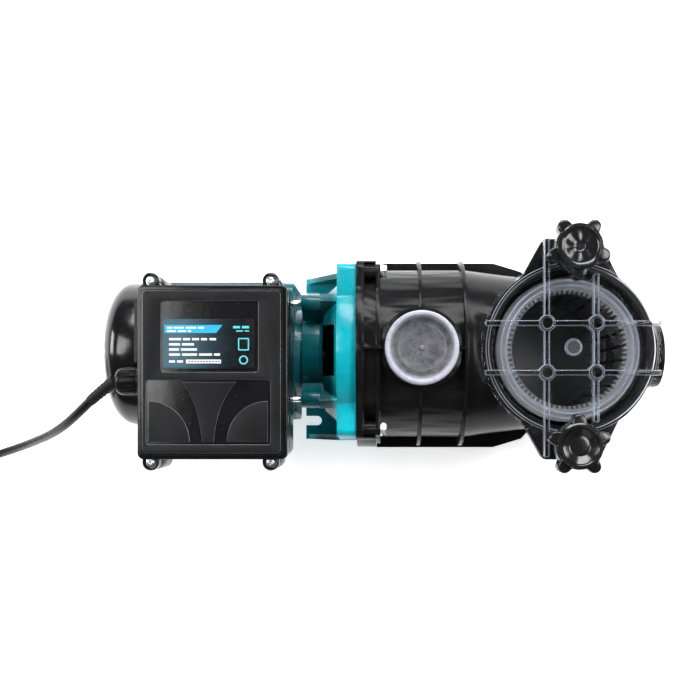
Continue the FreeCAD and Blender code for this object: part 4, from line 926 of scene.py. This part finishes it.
def knob(name, node, body, y, turn, deep):
    bm = bmesh.new()
    n = 240
    raw = [knob_outline(math.tau * i / n, turn) for i in range(n)]
    for _ in range(3):
        raw = [(raw[i - 1] + 2 * raw[i] + raw[(i + 1) % n]) / 4 for i in range(n)]
    levels = [
        (11.0, 174.8, 0), (11.0, 184.6, 0), (12.0, 185.0, 0), (-1.3, 185.0, 1), (-0.3, 185.6, 1), (0.0, 186.6, 1), (0.0, 199.0, 1), (-0.35, 200.1, 1), (-1.2, 200.9, 1), (-2.2, 201.2, 1),
        (19.0, 201.4, 2), (19.0, 203.2, 2), (18.6, 204.3, 2), (17.6, 204.95, 2), (15.8, 205.0, 0), (15.2, 204.6, 0), (14.2, 204.95 - deep, 0), (13.2, 204.7 - deep, 0), (11.2, 204.55 - deep, 0), (9.0, 204.4 - deep, 0), (6.6, 204.3 - deep, 0), (4.4, 204.25 - deep, 0),
        (3.9, 204.1 - deep, 0), (3.3, 203.7 - deep, 0), (0, 203.7 - deep, 0),
    ]
    if name.endswith("b"):
        levels[-7:] = [(14.4, 204.5, 0), (9.6, 201.9, 0), (9.0, 201.3, 0), (8.2, 201.0, 0), (7.0, 201.3, 0), (5.6, 201.5, 0), (0, 201.6, 0)]
    rows = []
    for r, z, kind in levels:
        if r == 0 and kind == 0:
            rows.append([bm.verts.new((KX, y, z))])
            continue
        row = []
        for i in range(n):
            a = math.tau * i / n
            q = r if kind == 0 else raw[i] + r if kind == 1 else min(r, raw[i] - 1.2)
            dz = 0.0
            if z > 202.5 and 3.5 < q < 14.5 and name.endswith("a"):
                dz = 0.2 * math.cos(7 * a) * (1 - abs(q - 9) / 6)
            row.append(bm.verts.new((KX + q * math.cos(a), y + q * math.sin(a), z + dz)))
        rows.append(row)
    for p, q in zip(rows, rows[1:]):
        for i in range(n):
            j = (i + 1) % n
            if len(q) == 1:
                bm.faces.new((p[i], p[j], q[0]))
            else:
                bm.faces.new((p[i], p[j], q[j], q[i]))
    bm.faces.new(rows[0][::-1])
    o = take(bm, name, KNOB, body, 30)
    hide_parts(node)
    return o


knob("lid_knob_a", "knob_a", "knob_a", KY, rad(-90), 1.0)
knob("lid_knob_b", "knob_b", "knob_b", -KY, rad(90), 1.5)
# ---------------------------------------------------------------- strainer basket rim
bm = bmesh.new()
n = 72
inner, outer = [], []
loop_in = []
for k in range(n):
    a0 = math.tau * k / n
    w = math.tau / n
    for f, r in ((0.0, 51.6), (0.22, 51.6), (0.34, 48.2), (0.66, 48.2), (0.78, 51.6)):
        a = a0 + f * w
        loop_in.append((LX + r * math.cos(a), r * math.sin(a)))
plate(bm, [ring_loop(LX, 0, 61.8, 144), loop_in[::-1]], 150.4, 152.8, 0.35, 1)
lathe(bm, [(58.9, 147.0), (62.0, 147.0), (62.0, 151.0), (58.9, 151.0), (58.9, 147.0)], "z", (LX, 0, 0), 144)
rim = take(bm, "basket_rim", GREY, "basket", 30)

# ---------------------------------------------------------------- stage and light
bpy.ops.mesh.primitive_plane_add(size=12, location=(0, 0, -0.0006))
floor = bpy.context.object
floor.name = "floor"
fm = Mat("floor_pale", (0.86, 0.86, 0.87), 0.6, Emission_Color=(1, 1, 1, 1), Emission_Strength=0.62)
fm.colour(fm.mix(fm.span(fm.noise(3, 3), 0.3, 0.7, 0, 1), (0.85, 0.85, 0.86), (0.88, 0.88, 0.885)))
floor.data.materials.append(fm.m)


def area(name, at, aim, size, power, size_y=None):
    l = bpy.data.lights.new(name, "AREA")
    l.energy = power
    l.size = size
    if size_y:
        l.shape = "RECTANGLE"
        l.size_y = size_y
    o = link(bpy.data.objects.new(name, l))
    o.location = at
    o.rotation_euler = (Vector(aim) - Vector(at)).to_track_quat("-Z", "Y").to_euler()
    return o


area("key", (0.1, 1.25, 0.95), (0.0, 0.0, 0.1), 1.3, 33, 0.6)
area("fill", (-0.3, -1.3, 0.8), (0.0, 0.0, 0.1), 1.2, 1.2, 0.5)
area("steep_left", (-1.0, 0.3, 1.75), (0.0, 0.0, 0.1), 0.8, 13, 0.5)
area("steep_right", (1.0, 0.3, 1.75), (0.0, 0.0, 0.1), 0.8, 13, 0.5)
area("left", (-1.4, 0.25, 0.55), (-0.1, 0.0, 0.12), 0.5, 11, 0.5)
area("right", (1.3, 0.2, 0.8), (0.15, 0.0, 0.12), 0.6, 10, 0.5)
world = bpy.data.worlds.new("studio")
SC.world = world
world.use_nodes = True
bg = world.node_tree.nodes["Background"]
bg.inputs[0].default_value = (0.97, 0.985, 1.0, 1)
bg.inputs[1].default_value = 0.12
SC.view_settings.view_transform = "Standard"
